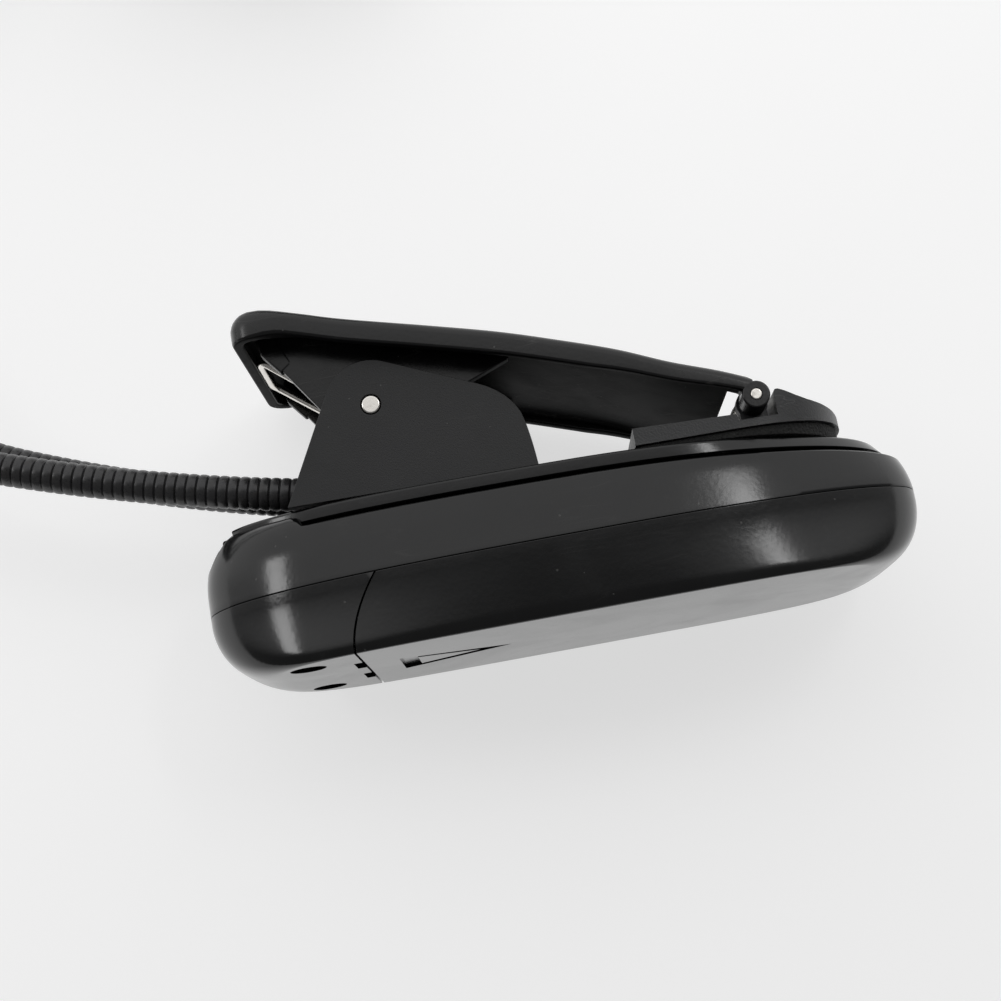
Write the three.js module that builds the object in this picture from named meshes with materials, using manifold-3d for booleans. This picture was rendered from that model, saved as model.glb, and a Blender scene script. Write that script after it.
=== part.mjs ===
// Clip on reading lamp: a battery body with a sprung clip on its back and two gooseneck arms.
// Millimetres. The origin is the centre of the flat front face, +X runs towards the clip's jaw,
// +Z towards the clip, so the lamp stands on its front face.
import * as THREE from 'three';
import { mergeVertices } from 'three/addons/utils/BufferGeometryUtils.js';
import Module from 'manifold-3d';

const wasm = await Module();
wasm.setup();

// ---- driving dimensions -------------------------------------------------------------------------
const gap = 0.3;                 // clearance between separate pieces
const wall = 1.6;                // shell wall
const body = {
  halfLength: 49, halfWidth: 19.5, bluntness: 2.75,   // plan outline where the shells meet
  faceHalfLength: 39.7, faceHalfWidth: 18.4, faceBluntness: 5,
  partingZ: 10, backZ: 20.4,                          // where the shells meet, and the back at x = 0
  backSlope: 0.012, backDroop: 0.0012,                // the back falls towards the jaw end
  shoulderDrop: 2.6, rimInset: 1.1, neckInset: 3.6, plateThickness: 1.8,
  grooveX: -33,                                       // the groove round the plate starts here
};
const scallop = { y: 5.2, radius: 3.2, drop: 1.6, plateX: -39.4, shellX: -43.4, backingX: -41.4 };
const arrow = {
  tipX: -9, baseX: -24.2, halfWidth: 5.6, depth: 0.4,
  innerTipX: -11.8, innerBaseX: -21.8, innerHalfWidth: 3.9,
};
const door = { seamX: -28.75, seamLean: 4.2, latchWidth: 5.4, latchY: 5.8 };
const cell = { diameter: 10.5, length: 44.5, spacing: 0.4, endX: -21.5, restZ: 2.1 };
const tray = { top: 1.2, endWall: 1.2, endRoom: 4.3, sheet: 0.4 };
const caseScrew = { x: -35.8, y: 10.9, recess: 4.8, head: 4.2, shank: 2, seatZ: 6.2 };
const pivot = { x: -21.8, z: 33, pin: 2.5, cheekY: 14.5, cheek: 2, lobe: 6.2 };
const lever = {
  halfWidth: 17.5, cap: 1.6, rim: 3.4, rimWall: 1.6, endX: -38.7, skirtY: 12.2, skirt: 1.5, lobe: 4.2,
};
const jaw = {
  x: 28.2, z: 24.2, pin: 1.5, barrel: 2.2, halfWidth: 15.5, startX: 11.6, endX: 41, noseX: 30.9,
};
const spring = { wire: 1.3, coil: 7.2, y: 7.5, turns: 2, steps: 9 };
const neck = { diameter: 4.7, startX: -24, startZ: 23.5, apart: 0.8, splay: 7.75, clampX: -27, ferrule: 8 };
const arms = [
  { name: 'near', side: -1, leave: 9.5, lift: 10 },
  { name: 'far', side: 1, leave: 10.5, lift: 12.5 },
];
const arch = { straight: 52, riseRadius: 60, riseTo: 100, fallRadius: 46, fallTo: 200, joints: 6 };
const head = { length: 50, width: 16.6, thickness: 9.4, lens: 1.4, ledPitch: 15, button: 6, solidRear: 6 };

// ---- materials ----------------------------------------------------------------------------------
function paint(color, roughness, metalness) {
  return new THREE.MeshStandardMaterial({ color, roughness, metalness });
}

const glossBlack = () => paint(0x111214, 0.16, 0);
const satinBlack = () => paint(0x1e1f21, 0.45, 0);
const foamBlack = () => paint(0x1b1b1a, 0.95, 0);
const steel = () => paint(0xb9b6ae, 0.3, 1);
const blackSteel = () => paint(0x232326, 0.42, 0.6);
const greenBoard = () => paint(0x1d5a34, 0.5, 0);
const cellJacket = () => paint(0x3a5f8a, 0.4, 0.1);
const clearPlastic = () => paint(0xe8edf0, 0.12, 0);
const ledResin = () => paint(0xf4f1d8, 0.2, 0);
const greyRubber = () => paint(0x55585c, 0.7, 0);
const trayPlastic = () => paint(0x26272a, 0.6, 0);

// ---- solids -------------------------------------------------------------------------------------
function solid(geometry) {
  const bare = geometry.clone();
  bare.deleteAttribute('normal');
  bare.deleteAttribute('uv');
  const merged = mergeVertices(bare, 1e-4);
  const vertProperties = new Float32Array(merged.attributes.position.array);
  const triVerts = new Uint32Array(merged.index.array);
  return new wasm.Manifold(new wasm.Mesh({ numProp: 3, vertProperties, triVerts }));
}

function join(first, ...others) {
  return others.reduce((whole, piece) => whole.add(piece), first);
}

function cut(first, ...others) {
  return others.reduce((whole, piece) => whole.subtract(piece), first);
}

function toGeometry(manifold) {
  const mesh = manifold.getMesh();
  const geometry = new THREE.BufferGeometry();
  geometry.setAttribute('position', new THREE.BufferAttribute(new Float32Array(mesh.vertProperties), 3));
  geometry.setIndex(new THREE.BufferAttribute(new Uint32Array(mesh.triVerts), 1));
  geometry.computeVertexNormals();
  return geometry;
}

const lamp = new THREE.Group();

function piece(name, shape, material, parent = lamp) {
  const geometry = shape.isBufferGeometry ? shape : toGeometry(shape);
  const mesh = new THREE.Mesh(geometry, material);
  mesh.name = name;
  parent.add(mesh);
  return mesh;
}

function block(x0, x1, y0, y1, z0, z1) {
  const box = new THREE.BoxGeometry(x1 - x0, y1 - y0, z1 - z0);
  return solid(box.translate((x0 + x1) / 2, (y0 + y1) / 2, (z0 + z1) / 2));
}

function rodY(x, z, radius, y0, y1, sides = 18) {
  const rod = new THREE.CylinderGeometry(radius, radius, y1 - y0, sides);
  return solid(rod.translate(x, (y0 + y1) / 2, z));
}

function rodZ(x, y, radius, z0, z1, sides = 16) {
  const rod = new THREE.CylinderGeometry(radius, radius, z1 - z0, sides).rotateX(Math.PI / 2);
  return solid(rod.translate(x, y, (z0 + z1) / 2));
}

function rodX(y, z, radius, x0, x1, sides = 16) {
  const rod = new THREE.CylinderGeometry(radius, radius, x1 - x0, sides).rotateZ(Math.PI / 2);
  return solid(rod.translate((x0 + x1) / 2, y, z));
}

function asShape(outline) {
  if (outline instanceof THREE.Shape) {
    return outline;
  }
  return new THREE.Shape(outline.map(([x, y]) => new THREE.Vector2(x, y)));
}

// A side outline, drawn in X and Z, pulled across the lamp from y0 to y1.
function across(points, y0, y1) {
  const pull = { depth: y1 - y0, bevelEnabled: false, curveSegments: 7 };
  const slab = new THREE.ExtrudeGeometry(asShape(points), pull);
  return solid(slab.rotateX(Math.PI / 2).translate(0, y1, 0));
}

// A plan outline, drawn in X and Y, pulled up from z0 to z1.
function upright(points, z0, z1) {
  const pull = { depth: z1 - z0, bevelEnabled: false, curveSegments: 7 };
  const slab = new THREE.ExtrudeGeometry(asShape(points), pull);
  return solid(slab.translate(0, 0, z0));
}

// ---- battery body -------------------------------------------------------------------------------
const backHeight = (x) => body.backZ - body.backSlope * x - body.backDroop * Math.max(0, x) ** 2;
const round = (t) => Math.sqrt(Math.max(0, 1 - Math.min(1, Math.max(0, t)) ** 2));

// Half length, half width and bluntness of the plan outline at one height, left or right of the middle.
function outlineAt(z, side) {
  const low = round((body.partingZ - 0.7 - z) / (body.partingZ - 0.7));
  const lowSide = round((1.6 - z) / 1.6);
  if (z < body.partingZ) {
    const length = body.faceHalfLength + (body.halfLength - body.faceHalfLength) * low;
    const growth = 0.6 * lowSide + 0.4 * z / body.partingZ;
    const width = body.faceHalfWidth + (body.halfWidth - body.faceHalfWidth) * growth;
    return [length, width, body.faceBluntness + (body.bluntness - body.faceBluntness) * low];
  }
  const rise = (z - body.partingZ) / (body.backZ - body.partingZ);
  const endDrop = side < 0 ? 5.5 * (1 - round((rise - 0.25) / 0.85)) : 10 * (1 - round(rise / 0.97));
  const sideDrop = 1.2 * rise + 1.6 * (1 - round((rise - 0.45) / 0.5));
  return [body.halfLength - endDrop, body.halfWidth - sideDrop, body.bluntness];
}

function bodyLoft(inset, levels, sides = 44) {
  const rings = levels.length - 1;
  const geometry = new THREE.CylinderGeometry(1, 1, 1, sides, rings).rotateX(Math.PI / 2);
  const position = geometry.attributes.position;
  for (let i = 0; i < position.count; i += 1) {
    const level = levels[Math.round((position.getZ(i) + 0.5) * rings)];
    const reach = Math.hypot(position.getX(i), position.getY(i));
    const angle = Math.atan2(position.getY(i), position.getX(i));
    const [c, s] = [Math.cos(angle), Math.sin(angle)];
    const [length, width, bluntness] = outlineAt(level, Math.sign(c));
    const power = 2 / bluntness;
    const x = Math.sign(c) * Math.abs(c) ** power * (length - inset) * reach;
    const y = Math.sign(s) * Math.abs(s) ** power * (width - inset) * reach;
    position.setXYZ(i, reach < 1e-6 ? 0 : x, reach < 1e-6 ? 0 : y, level);
  }
  return solid(geometry);
}

// The seam between the fixed end and the sliding door, seen from the side.
function seamSide(offset, side) {
  const seam = [-1, 0, 2.5, 5, 7.5, 10, 11].map((z) => {
    const lean = door.seamLean * (Math.max(0, z) / body.partingZ) ** 1.9;
    return [door.seamX + offset + lean, z];
  });
  return across([...seam, [side * 60, 11], [side * 60, -1]], -30, 30);
}

function frontHalf() {
  const outer = bodyLoft(0, [0, 0.4, 1, 2, 4, 6.5, body.partingZ - gap / 2]);
  const inner = bodyLoft(wall, [wall, 3, 5.5, body.partingZ + 1]);
  return outer.subtract(inner);
}

function fixedEnd(front) {
  const bosses = [-1, 1].map((side) => rodZ(caseScrew.x, side * caseScrew.y, 3.6, wall - 0.2, 9.2));
  const recesses = [-1, 1].flatMap((side) => [
    rodZ(caseScrew.x, side * caseScrew.y, caseScrew.recess / 2, -1, caseScrew.seatZ),
    rodZ(caseScrew.x, side * caseScrew.y, caseScrew.shank / 2 + gap, -1, 12),
  ]);
  const latches = [-1, 1].map((side) => block(door.seamX - 1.3, door.seamX + 1,
    side * door.latchY - door.latchWidth / 2, side * door.latchY + door.latchWidth / 2, -1, 1.1));
  const shell = front.intersect(seamSide(-gap / 2, -1));
  const inBody = join(...bosses).intersect(bodyLoft(0.5, [0.5, 4, 10]));
  return cut(join(shell, inBody), ...recesses, ...latches);
}

function slidingDoor(front) {
  const mark = new THREE.Shape();
  mark.moveTo(arrow.tipX, 0);
  mark.lineTo(arrow.baseX, arrow.halfWidth);
  mark.lineTo(arrow.baseX, -arrow.halfWidth);
  const inside = new THREE.Path();
  inside.moveTo(arrow.innerTipX, 0);
  inside.lineTo(arrow.innerBaseX, -arrow.innerHalfWidth);
  inside.lineTo(arrow.innerBaseX, arrow.innerHalfWidth);
  mark.holes.push(inside);
  const shell = front.intersect(seamSide(gap / 2, 1));
  return cut(shell, upright(mark, -1, arrow.depth));
}

// Everything below the back, dropped by one depth at the neck end and by another from the groove on.
function underBack(drop, lowZ = body.partingZ + gap / 2, endDrop = drop, stepX = body.grooveX) {
  const end = [-50, stepX - 0.8].map((x) => [x, backHeight(x) - endDrop]);
  const rest = [stepX, -20, 0, 10, 20, 30, 40, 50].map((x) => [x, backHeight(x) - drop]);
  return across([...end, ...rest, [50, lowZ], [-50, lowZ]], -30, 30);
}

const shoulderDrop = body.shoulderDrop;
const outerLevels = [body.partingZ, 12, 14, 16, 17.5, 19, 21];

// Two scallops in the neck end, side by side.
function scallops(endX) {
  const z = backHeight(-44) - scallop.drop;
  return [-1, 1].map((side) => rodX(side * scallop.y, z, scallop.radius, -60, endX, 20));
}

function backShell() {
  const top = underBack(shoulderDrop, undefined, body.plateThickness + gap);
  const outer = bodyLoft(0, outerLevels).intersect(top);
  const inner = bodyLoft(wall, [body.partingZ - 1, 13, 16, 18]).intersect(underBack(shoulderDrop + wall, 0));
  const bosses = join(...[-1, 1].map((side) => rodZ(caseScrew.x, side * caseScrew.y, 3.2, 10.4, 16.6)));
  const backing = block(-60, scallop.backingX, -scallop.y - 4.4, scallop.y + 4.4, 12.8, 30);
  const pilotRadius = caseScrew.shank / 2 + gap;
  const pilots = [-1, 1].map((side) => rodZ(caseScrew.x, side * caseScrew.y, pilotRadius, 9, 15.4));
  const room = bodyLoft(0.5, outerLevels).intersect(underBack(shoulderDrop + 0.4));
  const kept = join(bosses, backing).intersect(room);
  const screwHoles = bracketScrewPlaces.map(([x, y]) => rodZ(x, y, 1.3, 12, 20));
  return cut(join(outer.subtract(inner), kept), ...pilots, ...scallops(scallop.shellX), ...screwHoles);
}

const bracketScrewPlaces = [[-6.5, -6], [-6.5, 6]];

function backPlate() {
  const neckPart = bodyLoft(body.neckInset, outerLevels).intersect(underBack(body.plateThickness - 0.1));
  const ledge = underBack(shoulderDrop - gap, 0, body.plateThickness, body.grooveX + gap);
  const rimPart = bodyLoft(body.rimInset, outerLevels).intersect(underBack(0));
  const below = underBack(body.plateThickness, 0);
  const plate = join(cut(neckPart, ledge), cut(rimPart, below));
  const screwHoles = bracketScrewPlaces.map(([x, y]) => rodZ(x, y, 1.3, 12, 22));
  return cut(plate, ...scallops(scallop.plateX), ...screwHoles);
}

// ---- inside the body ----------------------------------------------------------------------------
const cellRadius = cell.diameter / 2;
const cellPitch = cell.diameter + cell.spacing;
const cellZ = cell.restZ + cellRadius;
const cellRows = [-1, 0, 1];
const trayLeft = cell.endX - tray.endRoom;
const trayRight = cell.endX + cell.length + tray.endRoom - 0.5;

function batteryTray() {
  const topZ = cellZ + cellRadius + 0.35;
  const half = 1.5 * cellPitch - 0.75;
  const left = trayLeft - tray.endWall;
  const right = trayRight + tray.endWall;
  const top = block(left, right, -half, half, topZ, topZ + tray.top);
  const endWalls = [[left, trayLeft], [trayRight, right]].map(([x0, x1]) => (
    block(x0, x1, -half + 2.6, half - 2.6, 3, topZ + 0.2)
  ));
  const ridges = [-0.5, 0.5].map((row) => {
    const rib = new THREE.CylinderGeometry(1.7, 1.7, cell.length + 1.5, 3).rotateZ(Math.PI / 2);
    const lowered = solid(rib.rotateX(Math.PI).translate(0.6, row * cellPitch, topZ - 0.2));
    const room = cellRows.map((place) => rodX(place * cellPitch, cellZ, cellRadius + 0.25, -40, 40, 28));
    return cut(lowered, ...room);
  });
  return join(top, ...endWalls, ...ridges);
}

function dryCell(direction) {
  const half = cell.length / 2;
  const radius = cellRadius;
  const profile = [
    [0, -half], [radius - 0.5, -half], [radius, -half + 0.5], [radius, half - 1.6], [radius - 0.6, half - 1],
    [1.9, half - 1], [1.9, half], [0, half],
  ].map(([r, z]) => new THREE.Vector2(r, z));
  return new THREE.LatheGeometry(profile, 20).rotateZ(-direction * Math.PI / 2);
}

class Helix extends THREE.Curve {
  constructor(radius, length, turns, lean = 0) {
    super();
    Object.assign(this, { radius, length, turns, lean });
  }

  getPoint(t) {
    const angle = 2 * Math.PI * this.turns * t;
    const radius = this.radius * (1 - this.lean * t);
    return new THREE.Vector3(this.length * t, radius * Math.cos(angle), radius * Math.sin(angle));
  }
}

function circle(radius, sides) {
  const points = Array.from({ length: sides }, (_, i) => {
    const angle = (2 * Math.PI * i) / sides;
    return new THREE.Vector2(radius * Math.cos(angle), radius * Math.sin(angle));
  });
  return new THREE.Shape(points);
}

function tube(path, radius, steps, sides = 8) {
  return new THREE.ExtrudeGeometry(circle(radius, sides), { steps, extrudePath: path, bevelEnabled: false });
}

function insideBody() {
  piece('battery_tray', batteryTray(), trayPlastic());
  const sheet = tray.sheet;
  const rightX = trayRight - gap;
  const leftX = trayLeft + gap;
  const pitch = cellPitch;
  const names = ['near', 'middle', 'far'];
  const coil = new Helix(3.6, 1.9, 2, 0.35);
  cellRows.forEach((row, i) => {
    const direction = i % 2 ? -1 : 1;
    const y = row * pitch;
    const battery = piece(`battery_${names[i]}`, dryCell(direction), cellJacket());
    battery.position.set(cell.endX + cell.length / 2, y, cellZ);
    const contact = piece(`cell_spring_${names[i]}`, tube(coil, 0.3, 20, 5), steel());
    const sheetFace = direction < 0 ? rightX - sheet : leftX + sheet;
    contact.position.set(sheetFace + direction * 0.6, y, cellZ);
    contact.rotation.z = direction < 0 ? Math.PI : 0;
  });
  piece('contact_bridge_jaw_end', block(rightX - sheet, rightX, -pitch - 2, 4, 4, 10.5), steel());
  piece('contact_tab_jaw_end', block(rightX - sheet, rightX, pitch - 4, pitch + 2, 4, 10.5), steel());
  piece('contact_bridge_neck_end', block(leftX, leftX + sheet, -4, pitch + 2, 4, 10.5), steel());
  piece('contact_tab_neck_end', block(leftX, leftX + sheet, -pitch - 2, -pitch + 4, 4, 10.5), steel());
  piece('driver_board', block(-43, -30.6, -6.4, 6.4, 11.2, 12.4), greenBoard());
}

function screw(name, x, y, headZ, tipZ, headRadius, shankRadius, direction) {
  const headTop = headZ + direction * -1.7;
  const low = Math.min(headTop, headZ);
  const high = Math.max(headTop, headZ);
  const shank = rodZ(x, y, shankRadius, Math.min(headZ, tipZ) - 0.1, Math.max(headZ, tipZ) + 0.1, 12);
  const slotZ = direction > 0 ? low : high;
  const slots = [0, 1].map((turn) => {
    const bar = turn ? [0.3, 1.3] : [1.3, 0.3];
    return block(x - bar[0], x + bar[0], y - bar[1], y + bar[1], slotZ - 0.7, slotZ + 0.7);
  });
  piece(name, cut(join(rodZ(x, y, headRadius, low, high, 20), shank), ...slots), steel());
}

// ---- clip ---------------------------------------------------------------------------------------
function cheekShape() {
  const shape = new THREE.Shape();
  const footLeft = backHeight(-34.8) + gap;
  const footRight = backHeight(-1.3) + gap;
  const leanTop = Math.PI - 0.47;
  shape.moveTo(-34.8, footLeft);
  shape.lineTo(pivot.x + pivot.lobe * Math.cos(leanTop), pivot.z + pivot.lobe * Math.sin(leanTop));
  shape.absarc(pivot.x, pivot.z, pivot.lobe, leanTop, 1.16, true);
  shape.lineTo(-9.4, 34.2);
  shape.quadraticCurveTo(-3.6, 31.9, -2.3, 28.2);
  shape.quadraticCurveTo(-1.6, 25.8, -1.3, footRight);
  return shape;
}

function clipBracket() {
  const cheeks = [[-pivot.cheekY, -pivot.cheekY + pivot.cheek], [pivot.cheekY - pivot.cheek, pivot.cheekY]];
  const plates = cheeks.map(([y0, y1]) => across(cheekShape(), y0, y1));
  const base = across([[-12, backHeight(-12) + gap], [-1.5, backHeight(-1.5) + gap],
    [-1.5, backHeight(-1.5) + 1.9], [-12, backHeight(-12) + 1.9]], -13.5, 13.5);
  const holes = bracketScrewPlaces.map(([x, y]) => rodZ(x, y, 1.3, 18, 24));
  const bore = rodY(pivot.x, pivot.z, pivot.pin / 2 + 0.15, -20, 20);
  return cut(join(...plates, base), ...holes, bore);
}

// The lever's top line, from the thumb end to the jaw.
const leverTop = new THREE.SplineCurve([
  [-38.7, 45.4], [-38.2, 47.3], [-36.4, 48.2], [-33.6, 48], [-29, 46.6], [-23.4, 44.8], [-12.1, 41.7],
  [-3.4, 39.2], [4.5, 36.5], [11.5, 33.9], [18.1, 30.9], [24, 28.1], [28.3, 25.7],
].map(([x, z]) => new THREE.Vector2(x, z)));

const leverTopPoints = leverTop.getSpacedPoints(30);

function leverTopAt(x) {
  const after = leverTopPoints.findIndex((point, i) => i > 2 && point.x >= x);
  const right = leverTopPoints[after < 0 ? leverTopPoints.length - 1 : after];
  const left = leverTopPoints[(after < 0 ? leverTopPoints.length - 1 : after) - 1];
  return left.y + ((right.y - left.y) * (x - left.x)) / (right.x - left.x);
}

// The side rims hang below the top line, less so towards the jaw.
function rimDepth(x) {
  return lever.rim - 0.055 * Math.max(0, x - 8);
}

function leverOutline() {
  const lower = [jaw.x, 22, 16, 10, 2, -8, -18, -28, -35].map((x) => [x, leverTopAt(x) - rimDepth(x)]);
  return [...leverTopPoints.map((point) => [point.x, point.y]), ...lower, [lever.endX + 0.4, 44.2]];
}

function leverPocket() {
  const wallX = lever.endX + lever.rimWall;
  const upper = [27, 22, 16, 10, 2, -8, -18, -28, -35, wallX].map((x) => [x, leverTopAt(x) - lever.cap]);
  return [...upper, [wallX, 20], [27, 10]];
}

function leverPlan() {
  const shape = new THREE.Shape();
  const half = lever.halfWidth;
  const corner = 5;
  shape.moveTo(lever.endX - 0.2 + corner, -half);
  shape.lineTo(40, -half);
  shape.lineTo(40, half);
  shape.lineTo(lever.endX - 0.2 + corner, half);
  shape.absarc(lever.endX - 0.2 + corner, half - corner, corner, Math.PI / 2, Math.PI, false);
  shape.absarc(lever.endX - 0.2 + corner, corner - half, corner, Math.PI, Math.PI * 1.5, false);
  return shape;
}

function skirtShape() {
  const shape = new THREE.Shape();
  shape.moveTo(-36.2, 45.2);
  shape.lineTo(-28.5, 33.9);
  shape.lineTo(pivot.x + lever.lobe * Math.cos(3.75), pivot.z + lever.lobe * Math.sin(3.75));
  shape.absarc(pivot.x, pivot.z, lever.lobe, 3.75, 5.3, false);
  shape.lineTo(-8.6, 34.3);
  shape.lineTo(-2.6, 36.6);
  shape.lineTo(-2.6, 38);
  shape.lineTo(-12.1, 41);
  shape.lineTo(-23.4, 44);
  shape.lineTo(-33, 47);
  return shape;
}

function clipLever() {
  const half = lever.halfWidth;
  const inner = half - lever.rimWall;
  const tray = across(leverOutline(), -half, half);
  const pocket = across(leverPocket(), -inner, inner);
  const plan = upright(leverPlan(), 15, 60);
  const skirts = [-1, 1].map((side) => {
    const edges = [side * lever.skirtY, side * (lever.skirtY - lever.skirt)].sort((a, b) => a - b);
    return across(skirtShape(), edges[0], edges[1]);
  });
  const barrels = [-1, 1].map((side) => {
    const edges = [side * half, side * 13].sort((a, b) => a - b);
    return rodY(jaw.x, jaw.z, jaw.barrel, edges[0], edges[1]);
  });
  const knuckleRoom = block(24.6, 40, -13 + gap / 2, 13 - gap / 2, 15, 30);
  const bores = [
    rodY(pivot.x, pivot.z, pivot.pin / 2 + 0.05, -20, 20),
    rodY(jaw.x, jaw.z, jaw.pin / 2 + 0.05, -lever.halfWidth - 1, lever.halfWidth + 1),
  ];
  const shell = cut(tray.intersect(plan), pocket, knuckleRoom);
  return cut(join(shell, ...skirts, ...barrels), ...bores);
}

// Plan outline of the jaw: square towards the pivot, round towards the end, like the body below it.
function jawPlan(inset) {
  const half = jaw.halfWidth - inset;
  const shape = new THREE.Shape();
  const points = [[jaw.startX + inset, half], [jaw.startX + inset, -half]];
  const straightX = 25;
  for (let i = 0; i <= 16; i += 1) {
    const angle = -Math.PI / 2 + (Math.PI * i) / 16;
    const power = 2 / 2.4;
    const x = straightX + (jaw.endX - inset - straightX) * Math.abs(Math.cos(angle)) ** power;
    points.push([x, Math.sign(Math.sin(angle)) * half * Math.abs(Math.sin(angle)) ** power]);
  }
  shape.setFromPoints(points.map(([x, y]) => new THREE.Vector2(x, y)));
  return shape;
}

const shoeBottom = (x) => 20.75 - 0.012 * (x - jaw.startX);

function jawShoe() {
  const side = [
    [jaw.startX - 2, shoeBottom(jaw.startX)], [jaw.endX + 1, shoeBottom(jaw.endX)], [jaw.endX + 1, 21],
    [39.4, 22.4], [35.4, 23.5], [32.6, 24.8], [jaw.noseX + 0.6, 25.2], [jaw.noseX, 24.6], [jaw.noseX, 21.6],
    [25.6, 21.6],
    [25.4, 22.5], [jaw.startX - 1, 23.1],
  ];
  const slab = across(side, -20, 20).intersect(upright(jawPlan(0), 15, 30));
  const knuckle = join(rodY(jaw.x, jaw.z, 2.1, -12.5, 12.5), block(26.4, 30, -12.5, 12.5, 21.4, 23.6));
  const bore = rodY(jaw.x, jaw.z, jaw.pin / 2 + 0.15, -20, 20);
  const springRoom = block(22.8, jaw.noseX - 0.1, -10.9, -6.3, 21.75, 28);
  return cut(join(slab, knuckle), bore, springRoom);
}

function jawPad() {
  const under = [12, 20, 30, 41].map((x) => [x, backHeight(x) + 0.15]);
  const outline = [...under, [41, shoeBottom(41) - 0.1], [12, shoeBottom(12) - 0.1]];
  return across(outline, -20, 20).intersect(upright(jawPlan(0.5), 15, 30));
}

class Route extends THREE.Curve {
  constructor(points) {
    super();
    this.points = points;
  }

  getPoint(t) {
    const place = t * (this.points.length - 1);
    const i = Math.min(this.points.length - 2, Math.floor(place));
    return this.points[i].clone().lerp(this.points[i + 1], place - i);
  }
}

// A double torsion spring: two coils on the pivot pin, a bridge under the thumb end and two legs.
function leverSpring() {
  const radius = (spring.coil - spring.wire) / 2;
  const points = [];
  const wind = (side, reverse) => {
    const turn = [];
    const count = Math.round(spring.turns * spring.steps + spring.steps * 0.4);
    for (let i = 0; i <= count; i += 1) {
      const angle = (i / spring.steps) * 2 * Math.PI + 2.62;
      const y = side * (spring.y - 2.2 + (4.4 * i) / count);
      turn.push(new THREE.Vector3(pivot.x + radius * Math.cos(angle), y, pivot.z + radius * Math.sin(angle)));
    }
    return reverse ? turn.reverse() : turn;
  };
  points.push(new THREE.Vector3(-9.6, -spring.y - 2.2, 23.4), ...wind(-1, true));
  points.push(new THREE.Vector3(-35.4, -6, 44.1), new THREE.Vector3(-36.2, -5, 44.3));
  points.push(new THREE.Vector3(-36.2, 5, 44.3), new THREE.Vector3(-35.4, 6, 44.1));
  points.push(...wind(1, false), new THREE.Vector3(-9.6, spring.y + 2.2, 23.4));
  return tube(new Route(points), spring.wire / 2, points.length - 1, 6);
}

function jawSpring() {
  const radius = 1.75;
  const points = [new THREE.Vector3(23.3, -10.1, 22.3)];
  for (let i = 0; i <= 20; i += 1) {
    const angle = 4.2 - (i / 8) * 2 * Math.PI;
    const y = -10.1 + (3 * i) / 20;
    points.push(new THREE.Vector3(jaw.x + radius * Math.cos(angle), y, jaw.z + radius * Math.sin(angle)));
  }
  return tube(new Route(points), 0.3, points.length - 1, 5);
}

// ---- gooseneck arms -----------------------------------------------------------------------------
const degrees = Math.PI / 180;

// One arm's centre line by arc length: nearly straight past the body, up, and over to the head.
class ArmLine extends THREE.Curve {
  constructor(arm) {
    super();
    this.arm = arm;
    const leaving = arm.leave + arm.lift;
    this.lengths = [
      arch.straight,
      (arch.riseTo - leaving) * degrees * arch.riseRadius,
      (arch.fallTo - arch.riseTo) * degrees * arch.fallRadius,
    ];
    this.total = this.lengths.reduce((sum, length) => sum + length, 0);
  }

  heading(s) {
    const [first, second] = this.lengths;
    const leaving = this.arm.leave + this.arm.lift;
    if (s < first) {
      return (this.arm.leave + (this.arm.lift * s) / first) * degrees;
    }
    if (s < first + second) {
      return leaving * degrees + (s - first) / arch.riseRadius;
    }
    return arch.riseTo * degrees + (s - first - second) / arch.fallRadius;
  }

  at(s) {
    const steps = Math.max(1, Math.ceil(s / 2));
    const step = s / steps;
    const point = new THREE.Vector3(neck.startX, 0, neck.startZ);
    for (let i = 0; i < steps; i += 1) {
      const heading = this.heading((i + 0.5) * step);
      point.x -= step * Math.cos(heading);
      point.z += step * Math.sin(heading);
    }
    const spread = Math.min(1, Math.max(0, (s - 62) / (this.total - 82)));
    const splay = neck.splay * spread * spread * (3 - 2 * spread);
    point.y = this.arm.side * ((neck.diameter + neck.apart) / 2 + splay);
    return point;
  }
}

function armTube(line, from, to, steps) {
  const points = Array.from({ length: steps + 1 }, (_, i) => line.at(from + ((to - from) * i) / steps));
  return solid(tube(new Route(points), neck.diameter / 2, steps, 8));
}

function ball(centre, radius) {
  const sphere = new THREE.SphereGeometry(radius, 8, 6);
  return solid(sphere.translate(centre.x, centre.y, centre.z));
}

// Where the arm's joints sit along it: the ferrule's end, then evenly to the head.
function jointPlaces(line) {
  const spacing = (line.total - neck.ferrule) / arch.joints;
  return Array.from({ length: arch.joints }, (_, i) => neck.ferrule + spacing * i);
}

function buildArm(arm) {
  const line = new ArmLine(arm);
  const radius = neck.diameter / 2;
  const places = jointPlaces(line);
  const ends = [...places.slice(1), line.total];
  const root = join(armTube(line, 0, places[0], 3), ball(line.at(places[0]), radius));
  piece(`arm_${arm.name}_root`, root, blackSteel());
  places.forEach((place, i) => {
    const cup = ball(line.at(place), radius + gap);
    const last = i === places.length - 1;
    const link = armTube(line, place + 0.5, ends[i], 6);
    const whole = last ? link : join(link, ball(line.at(ends[i]), radius));
    piece(`arm_${arm.name}_link_${i + 1}`, cut(whole, cup), blackSteel());
  });
  return line;
}

function armClamp() {
  const floor = (x) => backHeight(x) + gap;
  const outline = [[neck.clampX, floor(neck.clampX)], [-15, floor(-15)], [-15, 27], [-16, 27.6],
    [neck.clampX + 0.8, 28], [neck.clampX, 27.2]];
  const blockPart = across(outline, -6.8, 6.8);
  const sockets = arms.map((arm) => {
    const line = new ArmLine(arm);
    const reach = line.at(12);
    const start = line.at(0);
    const back = start.clone().add(start.clone().sub(reach).normalize().multiplyScalar(0.3));
    return solid(tube(new Route([back, reach]), neck.diameter / 2 + gap, 1, 16));
  });
  return cut(blockPart, ...sockets);
}

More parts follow.
